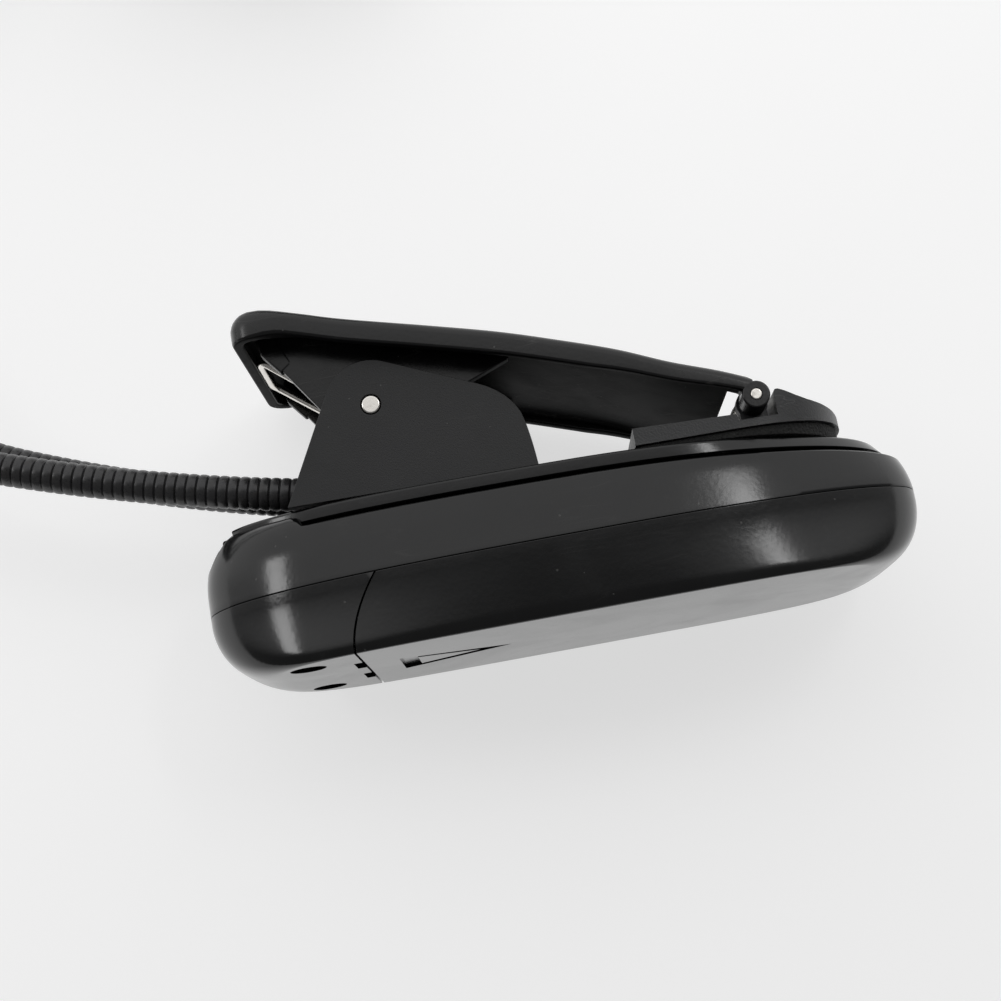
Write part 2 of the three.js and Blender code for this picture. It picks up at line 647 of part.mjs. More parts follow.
// ---- lamp heads ---------------------------------------------------------------------------------
function headPlan(inset) {
  const half = head.width / 2 - inset;
  const shape = new THREE.Shape();
  const rear = 5 - inset * 0.6;
  const front = head.width / 2 - inset;
  shape.moveTo(inset + rear, -half);
  shape.lineTo(head.length - inset - front, -half);
  shape.absarc(head.length - inset - front, 0, front, -Math.PI / 2, Math.PI / 2, false);
  shape.lineTo(inset + rear, half);
  shape.absarc(inset + rear, half - rear, rear, Math.PI / 2, Math.PI, false);
  shape.absarc(inset + rear, rear - half, rear, Math.PI, Math.PI * 1.5, false);
  return shape;
}

function buildHead(arm, line) {
  const group = new THREE.Group();
  const end = line.at(line.total - 2);
  group.position.copy(end);
  group.rotation.y = (arch.fallTo - 180) * degrees;
  lamp.add(group);
  const top = head.thickness / 2;
  const floor = -head.thickness / 2;
  const outer = upright(headPlan(0), floor, top - 1.2);
  const crown = upright(headPlan(1.3), top - 1.3, top);
  const rear = block(-1, head.solidRear, -20, 20, -20, 20);
  const cavity = cut(upright(headPlan(wall), floor - 1, top - 2.8), rear);
  const buttonX = 13;
  const buttonHole = rodZ(buttonX, 0, head.button / 2 + gap, -1, top + 1);
  const socket = rodX(0, 0, neck.diameter / 2 + 0.2, -3, 2.6, 16);
  const collar = rodX(0, 0, neck.diameter / 2 + 1.2, gap, 4, 20);
  const housing = cut(join(outer, crown), cavity);
  const shell = cut(join(housing, collar), buttonHole, socket, rodX(0, 0, 1.2, 0, 8, 12));
  piece(`head_${arm.name}_housing`, shell, glossBlack(), group);
  const lens = cut(upright(headPlan(wall + gap), floor + 0.4, floor + 0.4 + head.lens),
    block(-1, head.solidRear + gap, -20, 20, -20, 20));
  piece(`head_${arm.name}_lens`, lens, clearPlastic(), group);
  const board = block(20, 43.5, -5.2, 5.2, 0.4, 1.4);
  piece(`head_${arm.name}_led_board`, board, greenBoard(), group);
  [0, 1].forEach((i) => {
    const x = 24.5 + i * head.ledPitch;
    const dome = [[0, -2.4], [1.1, -2.2], [2, -1.4], [2.3, -0.4], [2.5, -0.4], [2.5, 0.1], [0, 0.1]];
    const profile = dome.map(([r, z]) => new THREE.Vector2(r, z));
    const led = new THREE.LatheGeometry(profile, 12).rotateX(Math.PI / 2);
    piece(`head_${arm.name}_led_${i + 1}`, led, ledResin(), group).position.set(x, 0, 0);
  });
  const stem = rodZ(buttonX, 0, head.button / 2, 1.3, top + 0.9, 20);
  const flange = rodZ(buttonX, 0, head.button / 2 + 1.2, 1.3, 1.6, 20);
  piece(`head_${arm.name}_button`, join(stem, flange), greyRubber(), group);
}

// ---- the lamp -----------------------------------------------------------------------------------
const front = frontHalf();
piece('front_end_shell', fixedEnd(front), glossBlack());
piece('battery_door', slidingDoor(front), glossBlack());
piece('back_shell', backShell(), glossBlack());
piece('back_plate', backPlate(), glossBlack());
insideBody();
[-1, 1].forEach((side) => {
  const name = `case_screw_${side < 0 ? 'near' : 'far'}`;
  const y = side * caseScrew.y;
  screw(name, caseScrew.x, y, caseScrew.seatZ - gap, 14.8, caseScrew.head / 2, caseScrew.shank / 2, 1);
});
piece('clip_bracket', clipBracket(), satinBlack());
bracketScrewPlaces.forEach(([x, y], i) => {
  screw(`bracket_screw_${i + 1}`, x, y, backHeight(x) + 2.2, 15.5, 2.1, 1, -1);
});
piece('pivot_pin', rodY(pivot.x, pivot.z, pivot.pin / 2, -pivot.cheekY - 0.1, pivot.cheekY + 0.1), steel());
piece('clip_lever', clipLever(), glossBlack());
piece('lever_spring', leverSpring(), steel());
piece('jaw_shoe', jawShoe(), satinBlack());
piece('jaw_pin', rodY(jaw.x, jaw.z, jaw.pin / 2, -lever.halfWidth - 0.1, lever.halfWidth + 0.1, 16), steel());
piece('jaw_spring', jawSpring(), steel());
piece('jaw_pad', jawPad(), foamBlack());
piece('arm_clamp', armClamp(), satinBlack());
arms.forEach((arm) => buildHead(arm, buildArm(arm)));

export default lamp;
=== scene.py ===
import math
import bpy
import bmesh
from mathutils import Matrix, Vector


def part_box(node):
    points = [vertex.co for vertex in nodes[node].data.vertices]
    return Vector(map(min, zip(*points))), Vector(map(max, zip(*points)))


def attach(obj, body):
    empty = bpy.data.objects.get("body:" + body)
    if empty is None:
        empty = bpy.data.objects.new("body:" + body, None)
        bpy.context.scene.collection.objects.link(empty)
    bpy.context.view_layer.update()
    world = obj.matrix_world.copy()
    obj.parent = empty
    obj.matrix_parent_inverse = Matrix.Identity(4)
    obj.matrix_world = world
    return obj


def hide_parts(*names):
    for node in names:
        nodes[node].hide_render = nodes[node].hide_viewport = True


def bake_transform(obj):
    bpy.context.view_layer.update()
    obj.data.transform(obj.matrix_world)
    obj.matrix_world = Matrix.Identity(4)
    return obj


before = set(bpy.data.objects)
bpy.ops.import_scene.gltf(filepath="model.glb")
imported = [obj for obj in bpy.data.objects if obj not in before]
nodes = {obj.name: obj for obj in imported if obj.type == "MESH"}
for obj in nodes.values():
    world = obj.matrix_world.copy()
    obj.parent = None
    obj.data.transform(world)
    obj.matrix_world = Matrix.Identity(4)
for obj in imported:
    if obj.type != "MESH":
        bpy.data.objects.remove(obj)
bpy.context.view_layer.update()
scene = bpy.context.scene
mm = 0.001
print("frame loaded:", len(nodes), "CAD nodes")


# small tools
def boxMm(node):
    low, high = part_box(node)
    return low / mm, high / mm


def smooth(t):
    t = min(1.0, max(0.0, t))
    return t * t * (3 - 2 * t)


def vertsOf(geom):
    return [g for g in geom if isinstance(g, bmesh.types.BMVert)]


def arc(cx, cy, radius, start, end, steps):
    angles = [start + (end - start) * i / steps for i in range(steps + 1)]
    return [(cx + radius * math.cos(a), cy + radius * math.sin(a)) for a in angles]


def bow(first, control, last, steps=8):
    # points of a quadratic curve, without its first one
    points = []
    for i in range(1, steps + 1):
        t = i / steps
        weights = ((1 - t) ** 2, 2 * t * (1 - t), t * t)
        points.append(tuple(sum(w * p[k] for w, p in zip(weights, (first, control, last))) for k in (0, 1)))
    return points


def growRings(levels, place, sides):
    # one ring of vertices, extruded level by level, closed at both ends
    bm = bmesh.new()
    turn = bm.verts.layers.float.new("turn")
    bmesh.ops.create_circle(bm, cap_ends=False, radius=1, segments=sides)
    for v in bm.verts:
        v[turn] = math.atan2(v.co.y, v.co.x)
        v.co = place(levels[0], v[turn])
    first = rim = list(bm.edges)
    for level in levels[1:]:
        grown = bmesh.ops.extrude_edge_only(bm, edges=rim)["geom"]
        rim = [g for g in grown if isinstance(g, bmesh.types.BMEdge) and g.is_boundary]
        for v in vertsOf(grown):
            v.co = place(level, v[turn])
    for edges in (first, rim):
        bmesh.ops.contextual_create(bm, geom=edges)
    bmesh.ops.recalc_face_normals(bm, faces=bm.faces)
    return bm


def slab(outline, low, high, axis="Y"):
    # a flat outline pulled from low to high: (x, z) points along Y, or (x, y) points along Z
    bm = bmesh.new()
    corners = [bm.verts.new((a, low, b) if axis == "Y" else (a, b, low)) for a, b in outline]
    face = bm.faces.new(corners)
    grown = bmesh.ops.extrude_face_region(bm, geom=[face])["geom"]
    reach = (0, high - low, 0) if axis == "Y" else (0, 0, high - low)
    bmesh.ops.translate(bm, vec=reach, verts=vertsOf(grown))
    bmesh.ops.recalc_face_normals(bm, faces=bm.faces)
    return bm


def brick(x0, x1, y0, y1, z0, z1):
    return slab([(x0, z0), (x1, z0), (x1, z1), (x0, z1)], y0, y1)


def rod(axis, centre, radius, low, high, sides=48, tip=None):
    bm = bmesh.new()
    bmesh.ops.create_cone(bm, cap_ends=True, segments=sides, radius1=radius,
                          radius2=radius if tip is None else tip, depth=high - low)
    turned = {"X": Matrix.Rotation(math.pi / 2, 3, "Y"), "Y": Matrix.Rotation(-math.pi / 2, 3, "X"),
              "Z": Matrix()}
    bmesh.ops.rotate(bm, cent=(0, 0, 0), matrix=turned[axis], verts=bm.verts)
    middle = (low + high) / 2
    a, b = centre
    places = {"X": (middle, a, b), "Y": (a, middle, b), "Z": (a, b, middle)}
    bmesh.ops.translate(bm, verts=bm.verts, vec=places[axis])
    return bm


def soften(bm, width, angle=35, segments=2, where=None):
    edges = [e for e in bm.edges if len(e.link_faces) == 2 and e.calc_face_angle(0) > math.radians(angle)
             and (where is None or where((e.verts[0].co + e.verts[1].co) / 2))]
    bmesh.ops.bevel(bm, geom=edges, offset=width, segments=segments, affect="EDGES", profile=0.5,
                    material=-1, clamp_overlap=True)
    return bm


def looseObject(bm, name="loose"):
    mesh = bpy.data.meshes.new(name)
    bm.to_mesh(mesh)
    bm.free()
    thing = bpy.data.objects.new(name, mesh)
    scene.collection.objects.link(thing)
    return thing


def combine(bm, others, how="DIFFERENCE"):
    # joins or cuts shapes with boolean modifiers and gives the result back as a bmesh
    base = looseObject(bm)
    spare = [looseObject(other) for other in others]
    for other in spare:
        cutter = base.modifiers.new("cut", "BOOLEAN")
        cutter.operation = how
        cutter.solver = "EXACT"
        cutter.object = other
    shape = base.evaluated_get(bpy.context.evaluated_depsgraph_get())
    result = bmesh.new()
    result.from_mesh(shape.to_mesh())
    shape.to_mesh_clear()
    for thing in [base] + spare:
        mesh = thing.data
        bpy.data.objects.remove(thing)
        bpy.data.meshes.remove(mesh)
    bmesh.ops.remove_doubles(result, verts=result.verts, dist=0.002)
    bmesh.ops.dissolve_degenerate(result, dist=0.001, edges=result.edges)
    return result


def finishPiece(name, bm, body, material, slotName, replaced=(), sharp=38):
    bmesh.ops.remove_doubles(bm, verts=bm.verts, dist=0.001)
    bmesh.ops.recalc_face_normals(bm, faces=bm.faces)
    bmesh.ops.scale(bm, vec=(mm, mm, mm), verts=bm.verts)
    piece = looseObject(bm, name)
    piece.data.shade_smooth()
    piece.data.set_sharp_from_angle(angle=math.radians(sharp))
    piece.data.materials.append(material)
    shading = piece.modifiers.new("shading", "WEIGHTED_NORMAL")
    shading.keep_sharp = True
    if isinstance(body, str):
        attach(piece, body)
    if replaced:
        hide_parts(*replaced)
    return piece


# surface effects, each a node group
def newGroup(name, inputs, outputs):
    group = bpy.data.node_groups.new(name, "ShaderNodeTree")
    for label, value in inputs.items():
        group.interface.new_socket(label, in_out="INPUT", socket_type="NodeSocketFloat").default_value = value
    for label in outputs:
        group.interface.new_socket(label, in_out="OUTPUT", socket_type="NodeSocketFloat")
    return group, group.nodes.new("NodeGroupInput"), group.nodes.new("NodeGroupOutput")


def addNode(tree, kind, values=(), links=()):
    node = tree.nodes.new(kind)
    for key, value in dict(values).items():
        if isinstance(key, str) and hasattr(node, key):
            setattr(node, key, value)
        else:
            node.inputs[key].default_value = value
    for key, socket in dict(links).items():
        tree.links.new(socket, node.inputs[key])
    return node


def maths(tree, operation, first, second=None):
    node = tree.nodes.new("ShaderNodeMath")
    node.operation = operation
    for i, value in enumerate((first, second)):
        if isinstance(value, (int, float)):
            node.inputs[i].default_value = value
        elif value is not None:
            tree.links.new(value, node.inputs[i])
    return node.outputs[0]


def handlingGroup():
    # what hands and storage leave on a moulding: a greasy film, dust specks and hairlines
    scales = {"Film scale": 90.0, "Speck scale": 420.0, "Hairline scale": 260.0}
    group, given, out = newGroup("handling", scales, ["Film", "Specks", "Hairlines"])
    place = group.nodes.new("ShaderNodeTexCoord").outputs["Object"]
    film = addNode(group, "ShaderNodeTexNoise", {"Detail": 5.0, "Roughness": 0.62, "Distortion": 0.6},
                   {"Vector": place, "Scale": given.outputs["Film scale"]})
    filmMask = addNode(group, "ShaderNodeMapRange", {"From Min": 0.42, "From Max": 0.72},
                       {"Value": film.outputs[0]})
    group.links.new(filmMask.outputs[0], out.inputs["Film"])
    cells = addNode(group, "ShaderNodeTexVoronoi", {"Randomness": 1.0},
                    {"Vector": place, "Scale": given.outputs["Speck scale"]})
    dots = maths(group, "LESS_THAN", cells.outputs["Distance"], 0.1)
    parted = addNode(group, "ShaderNodeSeparateColor", {}, {"Color": cells.outputs["Color"]})
    chosen = maths(group, "GREATER_THAN", parted.outputs[0], 0.93)
    group.links.new(maths(group, "MULTIPLY", dots, chosen), out.inputs["Specks"])
    drawn = addNode(group, "ShaderNodeMapping", {"Scale": (0.12, 1.0, 1.6), "Rotation": (0.3, 0.5, 0.25)},
                    {"Vector": place})
    threads = addNode(group, "ShaderNodeTexNoise", {"Detail": 2.0, "Roughness": 0.5},
                      {"Vector": drawn.outputs[0], "Scale": given.outputs["Hairline scale"]})
    nearHalf = maths(group, "ABSOLUTE", maths(group, "SUBTRACT", threads.outputs[0], 0.5))
    hair = addNode(group, "ShaderNodeMapRange", {"From Min": 0.012, "From Max": 0.0}, {"Value": nearHalf})
    group.links.new(maths(group, "MULTIPLY", hair.outputs[0], filmMask.outputs[0]), out.inputs["Hairlines"])
    return group


def grainGroup():
    # fine relief: round pits and bumps over a slow waviness
    group, given, out = newGroup("grain", {"Grain scale": 2500.0, "Wave scale": 120.0, "Wave share": 0.3},
                                 ["Height"])
    place = group.nodes.new("ShaderNodeTexCoord").outputs["Object"]
    fine = addNode(group, "ShaderNodeTexNoise", {"Detail": 3.0, "Roughness": 0.6},
                   {"Vector": place, "Scale": given.outputs["Grain scale"]})
    pits = addNode(group, "ShaderNodeTexVoronoi", {"Randomness": 1.0},
                   {"Vector": place, "Scale": given.outputs["Grain scale"]})
    wave = addNode(group, "ShaderNodeTexNoise", {"Detail": 1.0},
                   {"Vector": place, "Scale": given.outputs["Wave scale"]})
    relief = maths(group, "ADD", fine.outputs[0], maths(group, "MULTIPLY", pits.outputs["Distance"], 0.6))
    share = maths(group, "MULTIPLY", wave.outputs[0], given.outputs["Wave share"])
    total = maths(group, "ADD", relief, share)
    group.links.new(total, out.inputs["Height"])
    return group


def brushedGroup():
    # drawn wire and turned pins: streaks round and along, with a few dull spots
    group, given, out = newGroup("brushed", {"Streak scale": 900.0, "Stretch": 14.0}, ["Streaks", "Spots"])
    place = group.nodes.new("ShaderNodeTexCoord").outputs["Object"]
    parts = addNode(group, "ShaderNodeSeparateXYZ", {}, {0: place})
    squeezed = maths(group, "DIVIDE", parts.outputs["Y"], given.outputs["Stretch"])
    joined = addNode(group, "ShaderNodeCombineXYZ", {},
                     {0: parts.outputs["X"], 1: squeezed, 2: parts.outputs["Z"]})
    streaks = addNode(group, "ShaderNodeTexNoise", {"Detail": 4.0, "Roughness": 0.7},
                      {"Vector": joined.outputs[0], "Scale": given.outputs["Streak scale"]})
    group.links.new(streaks.outputs[0], out.inputs["Streaks"])
    spots = addNode(group, "ShaderNodeTexNoise", {"Detail": 3.0, "Scale": 700.0}, {"Vector": place})
    mask = addNode(group, "ShaderNodeMapRange", {"From Min": 0.56, "From Max": 0.7},
                   {"Value": spots.outputs[0]})
    group.links.new(mask.outputs[0], out.inputs["Spots"])
    return group


handling = handlingGroup()
grain = grainGroup()
brushed = brushedGroup()


def useGroup(tree, group, values):
    node = tree.nodes.new("ShaderNodeGroup")
    node.node_tree = group
    for key, value in values.items():
        node.inputs[key].default_value = value
    return node


def newMaterial(name, plain):
    material = bpy.data.materials.new(name)
    material.use_nodes = True
    tree = material.node_tree
    shader = tree.nodes["Principled BSDF"]
    for key, value in plain.items():
        shader.inputs[key].default_value = value
    return material, tree, shader


def mixColours(tree, share, first, second):
    mix = tree.nodes.new("ShaderNodeMix")
    mix.data_type = "RGBA"
    tree.links.new(share, mix.inputs["Factor"])
    for socket, value in ((mix.inputs["A"], first), (mix.inputs["B"], second)):
        if isinstance(value, tuple):
            socket.default_value = (*value, 1)
        else:
            tree.links.new(value, socket)
    return mix.outputs["Result"]


def spread(tree, value, low, high, fromLow=0.0, fromHigh=1.0):
    node = addNode(tree, "ShaderNodeMapRange",
                   {"From Min": fromLow, "From Max": fromHigh, "To Min": low, "To Max": high},
                   {"Value": value})
    return node.outputs[0]


def addBump(tree, shader, height, strength, distance):
    bump = addNode(tree, "ShaderNodeBump", {"Strength": strength, "Distance": distance}, {"Height": height})
    tree.links.new(bump.outputs[0], shader.inputs["Normal"])


def moulded(name, look):
    # moulded plastic, rubber or foam
    material, tree, shader = newMaterial(name, look.get("plain", {}))
    marks = useGroup(tree, handling, {"Film scale": look["filmScale"], "Speck scale": look["speckScale"]})
    relief = useGroup(tree, grain, {"Grain scale": look["grainScale"], "Wave scale": look["waveScale"],
                                    "Wave share": look["waveShare"]})
    filmed = mixColours(tree, marks.outputs["Film"], look["colour"], look["filmColour"])
    hair = maths(tree, "MULTIPLY", marks.outputs["Hairlines"], look["hair"])
    scuffed = mixColours(tree, hair, filmed, look["dustColour"])
    dust = maths(tree, "MULTIPLY", marks.outputs["Specks"], look["dust"])
    dusted = mixColours(tree, dust, scuffed, look["dustColour"])
    tree.links.new(dusted, shader.inputs["Base Color"])
    rough = spread(tree, marks.outputs["Film"], *look["roughness"])
    rougher = maths(tree, "ADD", rough, maths(tree, "MULTIPLY", marks.outputs["Specks"], look["dust"] * 0.4))
    if "under" in look:
        # faces that look down in the piece's own frame are finished differently
        normal = tree.nodes.new("ShaderNodeTexCoord").outputs["Normal"]
        facing = addNode(tree, "ShaderNodeSeparateXYZ", {}, {0: normal})
        down = spread(tree, facing.outputs["Z"], 0.0, 1.0, -0.55, -0.85)
        shine = maths(tree, "ADD", maths(tree, "MULTIPLY", down, look["under"]["shine"] - 0.5), 0.5)
        tree.links.new(shine, shader.inputs["Specular IOR Level"])
        rougher = maths(tree, "ADD", rougher, maths(tree, "MULTIPLY", down, look["under"]["rougher"]))
    tree.links.new(rougher, shader.inputs["Roughness"])
    addBump(tree, shader, relief.outputs[0], look["bump"], look["depth"])
    return material


def metal(name, look):
    material, tree, shader = newMaterial(name, {"Metallic": look["metallic"]})
    worn = useGroup(tree, brushed, {"Streak scale": look["streakScale"], "Stretch": look["stretch"]})
    base = mixColours(tree, worn.outputs["Streaks"], look["colour"], look["light"])
    spotted = maths(tree, "MULTIPLY", worn.outputs["Spots"], look["spots"])
    tree.links.new(mixColours(tree, spotted, base, look["dull"]), shader.inputs["Base Color"])
    rough = spread(tree, worn.outputs["Streaks"], *look["roughness"], 0.3, 0.7)
    tree.links.new(rough, shader.inputs["Roughness"])
    addBump(tree, shader, worn.outputs["Streaks"], look["bump"], 0.00004)
    return material


glossBlack = moulded("gloss black ABS", {
    "colour": (0.0042, 0.0043, 0.0046), "filmColour": (0.0075, 0.0077, 0.008),
    "dustColour": (0.16, 0.155, 0.15),
    "roughness": (0.13, 0.2), "filmScale": 70.0, "speckScale": 620.0, "dust": 0.25, "hair": 0.07,
    "grainScale": 1500.0, "waveScale": 80.0, "waveShare": 2.0, "bump": 0.05, "depth": 0.0001,
    "under": {"shine": 0.95, "rougher": 0.02},
})
leverBlack = moulded("lever ABS", {
    "colour": (0.0052, 0.0052, 0.0055), "filmColour": (0.009, 0.009, 0.0095),
    "dustColour": (0.2, 0.195, 0.19),
    "roughness": (0.22, 0.32), "filmScale": 110.0, "speckScale": 700.0, "dust": 0.3, "hair": 0.2,
    "grainScale": 1900.0, "waveScale": 120.0, "waveShare": 1.2, "bump": 0.08, "depth": 0.0001,
    "under": {"shine": 0.06, "rougher": 0.3},
})
erodedBlack = moulded("spark eroded ABS", {
    "colour": (0.0155, 0.0157, 0.0165), "filmColour": (0.021, 0.0212, 0.022), "dustColour": (0.2, 0.2, 0.19),
    "roughness": (0.46, 0.54), "filmScale": 130.0, "speckScale": 900.0, "dust": 0.3, "hair": 0.03,
    "grainScale": 5200.0, "waveScale": 200.0, "waveShare": 0.3, "bump": 0.3, "depth": 0.00006,
})
shoeBlack = moulded("jaw ABS", {
    "colour": (0.028, 0.0283, 0.0295), "filmColour": (0.04, 0.0405, 0.042), "dustColour": (0.25, 0.25, 0.24),
    "roughness": (0.36, 0.5), "filmScale": 160.0, "speckScale": 600.0, "dust": 0.5, "hair": 0.35,
    "grainScale": 3600.0, "waveScale": 260.0, "waveShare": 0.6, "bump": 0.35, "depth": 0.00008,
})
foamBlack = moulded("closed cell foam", {
    "colour": (0.012, 0.012, 0.0122), "filmColour": (0.022, 0.022, 0.021), "dustColour": (0.12, 0.12, 0.115),
    "roughness": (0.85, 0.95), "filmScale": 420.0, "speckScale": 1500.0, "dust": 0.8, "hair": 0.0,
    "grainScale": 2300.0, "waveScale": 700.0, "waveShare": 0.8, "bump": 0.9, "depth": 0.00035,
})
trayBlack = moulded("tray ABS", {
    "colour": (0.018, 0.0182, 0.02), "filmColour": (0.026, 0.026, 0.028), "dustColour": (0.2, 0.2, 0.2),
    "roughness": (0.4, 0.55), "filmScale": 120.0, "speckScale": 400.0, "dust": 0.3, "hair": 0.3,
    "grainScale": 3800.0, "waveScale": 150.0, "waveShare": 0.4, "bump": 0.3, "depth": 0.00008,
})
greyRubber = moulded("grey rubber", {
    "colour": (0.09, 0.095, 0.1), "filmColour": (0.12, 0.124, 0.13), "dustColour": (0.4, 0.4, 0.38),
    "roughness": (0.62, 0.78), "filmScale": 180.0, "speckScale": 700.0, "dust": 0.7, "hair": 0.2,
    "grainScale": 4200.0, "waveScale": 300.0, "waveShare": 0.4, "bump": 0.4, "depth": 0.0001,
})
brightSteel = metal("bright steel", {
    "metallic": 1.0, "colour": (0.86, 0.82, 0.76), "light": (0.97, 0.95, 0.91),
    "dull": (0.45, 0.42, 0.38), "spots": 0.25,
    "roughness": (0.16, 0.34), "streakScale": 1300.0, "stretch": 9.0, "bump": 0.25,
})
contactSteel = metal("nickel contact", {
    "metallic": 1.0, "colour": (0.5, 0.48, 0.44), "light": (0.72, 0.69, 0.63),
    "dull": (0.26, 0.24, 0.21), "spots": 0.5,
    "roughness": (0.25, 0.42), "streakScale": 800.0, "stretch": 4.0, "bump": 0.2,
})
neckBlack = metal("black plated steel", {
    "metallic": 0.5, "colour": (0.032, 0.032, 0.034), "light": (0.07, 0.069, 0.07),
    "dull": (0.05, 0.047, 0.043),
    "spots": 0.35, "roughness": (0.24, 0.38), "streakScale": 2600.0, "stretch": 1.0, "bump": 0.3,
})


def jacketMaterial():
    # the cell's printed shrink jacket: a dark band, a coloured one and a pale line between
    plain = {"Metallic": 0.0, "Coat Weight": 0.5, "Coat Roughness": 0.12}
    material, tree, shader = newMaterial("cell jacket", plain)
    place = tree.nodes.new("ShaderNodeTexCoord").outputs["Object"]
    along = addNode(tree, "ShaderNodeSeparateXYZ", {}, {0: place}).outputs["X"]
    marks = useGroup(tree, handling, {"Film scale": 140.0, "Speck scale": 500.0})
    copper = spread(tree, along, 0.0, 1.0, 0.0102, 0.0104)
    past, before = maths(tree, "GREATER_THAN", along, 0.0094), maths(tree, "LESS_THAN", along, 0.0103)
    line = maths(tree, "MULTIPLY", past, before)
    bands = mixColours(tree, copper, (0.012, 0.03, 0.075), (0.42, 0.17, 0.04))
    lined = mixColours(tree, line, bands, (0.6, 0.6, 0.56))
    worn = mixColours(tree, maths(tree, "MULTIPLY", marks.outputs["Hairlines"], 0.4), lined, (0.5, 0.5, 0.5))
    tree.links.new(worn, shader.inputs["Base Color"])
    tree.links.new(spread(tree, marks.outputs["Film"], 0.28, 0.45), shader.inputs["Roughness"])
    relief = useGroup(tree, grain, {"Grain scale": 1400.0, "Wave scale": 300.0, "Wave share": 1.0})
    addBump(tree, shader, relief.outputs[0], 0.15, 0.0001)
    return material


def boardMaterial():
    # green solder mask over copper tracks, with tinned pads
    material, tree, shader = newMaterial("circuit board", {"Coat Weight": 0.4, "Coat Roughness": 0.2})
    place = tree.nodes.new("ShaderNodeTexCoord").outputs["Object"]
    tracks = addNode(tree, "ShaderNodeTexBrick", {"Scale": 260.0, "Mortar Size": 0.05, "Mortar Smooth": 0.1},
                     {"Vector": place})
    pads = addNode(tree, "ShaderNodeTexVoronoi", {"Scale": 420.0, "Randomness": 0.35}, {"Vector": place})
    pad = maths(tree, "LESS_THAN", pads.outputs["Distance"], 0.22)
    marks = useGroup(tree, handling, {"Film scale": 200.0})
    mask = mixColours(tree, tracks.outputs["Fac"], (0.012, 0.09, 0.035), (0.03, 0.16, 0.06))
    tinned = mixColours(tree, maths(tree, "MULTIPLY", pad, 0.9), mask, (0.5, 0.5, 0.48))
    tree.links.new(tinned, shader.inputs["Base Color"])
    tree.links.new(spread(tree, marks.outputs["Film"], 0.3, 0.5), shader.inputs["Roughness"])
    height = maths(tree, "ADD", tracks.outputs["Fac"], pad)
    addBump(tree, shader, height, 0.5, 0.00006)
    return material


def lensMaterial():
    material, tree, shader = newMaterial("clear acrylic", {"Transmission Weight": 1.0, "IOR": 1.49,
                                                          "Base Color": (0.95, 0.97, 0.98, 1)})
    marks = useGroup(tree, handling, {"Film scale": 120.0, "Speck scale": 500.0})
    tree.links.new(spread(tree, marks.outputs["Film"], 0.05, 0.16), shader.inputs["Roughness"])
    relief = useGroup(tree, grain, {"Grain scale": 900.0, "Wave scale": 260.0, "Wave share": 2.0})
    addBump(tree, shader, relief.outputs[0], 0.15, 0.0001)
    return material


def ledMaterial():
    # clear resin with the yellow phosphor showing in the middle
    material, tree, shader = newMaterial("led resin", {"Coat Weight": 1.0, "Coat Roughness": 0.05})
    place = tree.nodes.new("ShaderNodeTexCoord").outputs["Object"]
    cloud = addNode(tree, "ShaderNodeTexNoise", {"Scale": 900.0, "Detail": 3.0}, {"Vector": place})
    mask = spread(tree, cloud.outputs[0], 0.0, 1.0, 0.35, 0.65)
    tree.links.new(mixColours(tree, mask, (0.85, 0.72, 0.18), (0.92, 0.9, 0.72)), shader.inputs["Base Color"])
    tree.links.new(spread(tree, cloud.outputs[0], 0.12, 0.3, 0.3, 0.7), shader.inputs["Roughness"])
    addBump(tree, shader, cloud.outputs[0], 0.1, 0.0001)
    return material


cellJacket = jacketMaterial()
greenBoard = boardMaterial()
clearLens = lensMaterial()
ledResin = ledMaterial()
print("materials made")

# battery body
shellLow, shellHigh = boxMm("back_shell")
body = {
    "halfLength": shellHigh.x, "halfWidth": shellHigh.y, "bluntness": 2.75,
    "faceHalfLength": 39.7, "faceHalfWidth": 18.4, "faceBluntness": 5.0,
    "partingZ": 10.0, "backZ": 20.4, "backSlope": 0.012, "backDroop": 0.0012,
    "shoulderDrop": 2.6, "rimInset": 1.1, "neckInset": 3.6, "plate": 1.8, "wall": 1.6, "gap": 0.3,
    "line": 0.07,
    "grooveX": -33.0, "sides": 220,
}
scallop = {"y": 5.2, "radius": 3.2, "drop": 1.6, "plateX": -39.4, "shellX": -43.4, "backingX": -41.4}
door = {"seamX": -28.75, "seamLean": 4.2, "latchWidth": 5.4, "latchY": 5.8}
caseScrew = {"x": -35.8, "y": 10.9, "recess": 4.8, "seatZ": 6.2, "shank": 1.3}


def backHeight(x):
    return body["backZ"] - body["backSlope"] * x - body["backDroop"] * max(0, x) ** 2


def arch(t):
    t = min(1.0, max(0.0, t))
    return math.sqrt(1 - t * t)


def outlineAt(z, right):
    if z < body["partingZ"]:
        low = arch((body["partingZ"] - 0.7 - z) / (body["partingZ"] - 0.7))
        lowSide = arch((1.6 - z) / 1.6)
        spare = body["halfWidth"] - body["faceHalfWidth"]
        return (body["faceHalfLength"] + (body["halfLength"] - body["faceHalfLength"]) * low,
                body["faceHalfWidth"] + spare * (0.6 * lowSide + 0.4 * z / body["partingZ"]),
                body["faceBluntness"] + (body["bluntness"] - body["faceBluntness"]) * low)
    rise = (z - body["partingZ"]) / (body["backZ"] - body["partingZ"])
    endDrop = 10 * (1 - arch(rise / 0.97)) if right else 5.5 * (1 - arch((rise - 0.25) / 0.85))
    sideDrop = 1.2 * rise + 1.6 * (1 - arch((rise - 0.45) / 0.5))
    return body["halfLength"] - endDrop, body["halfWidth"] - sideDrop, body["bluntness"]


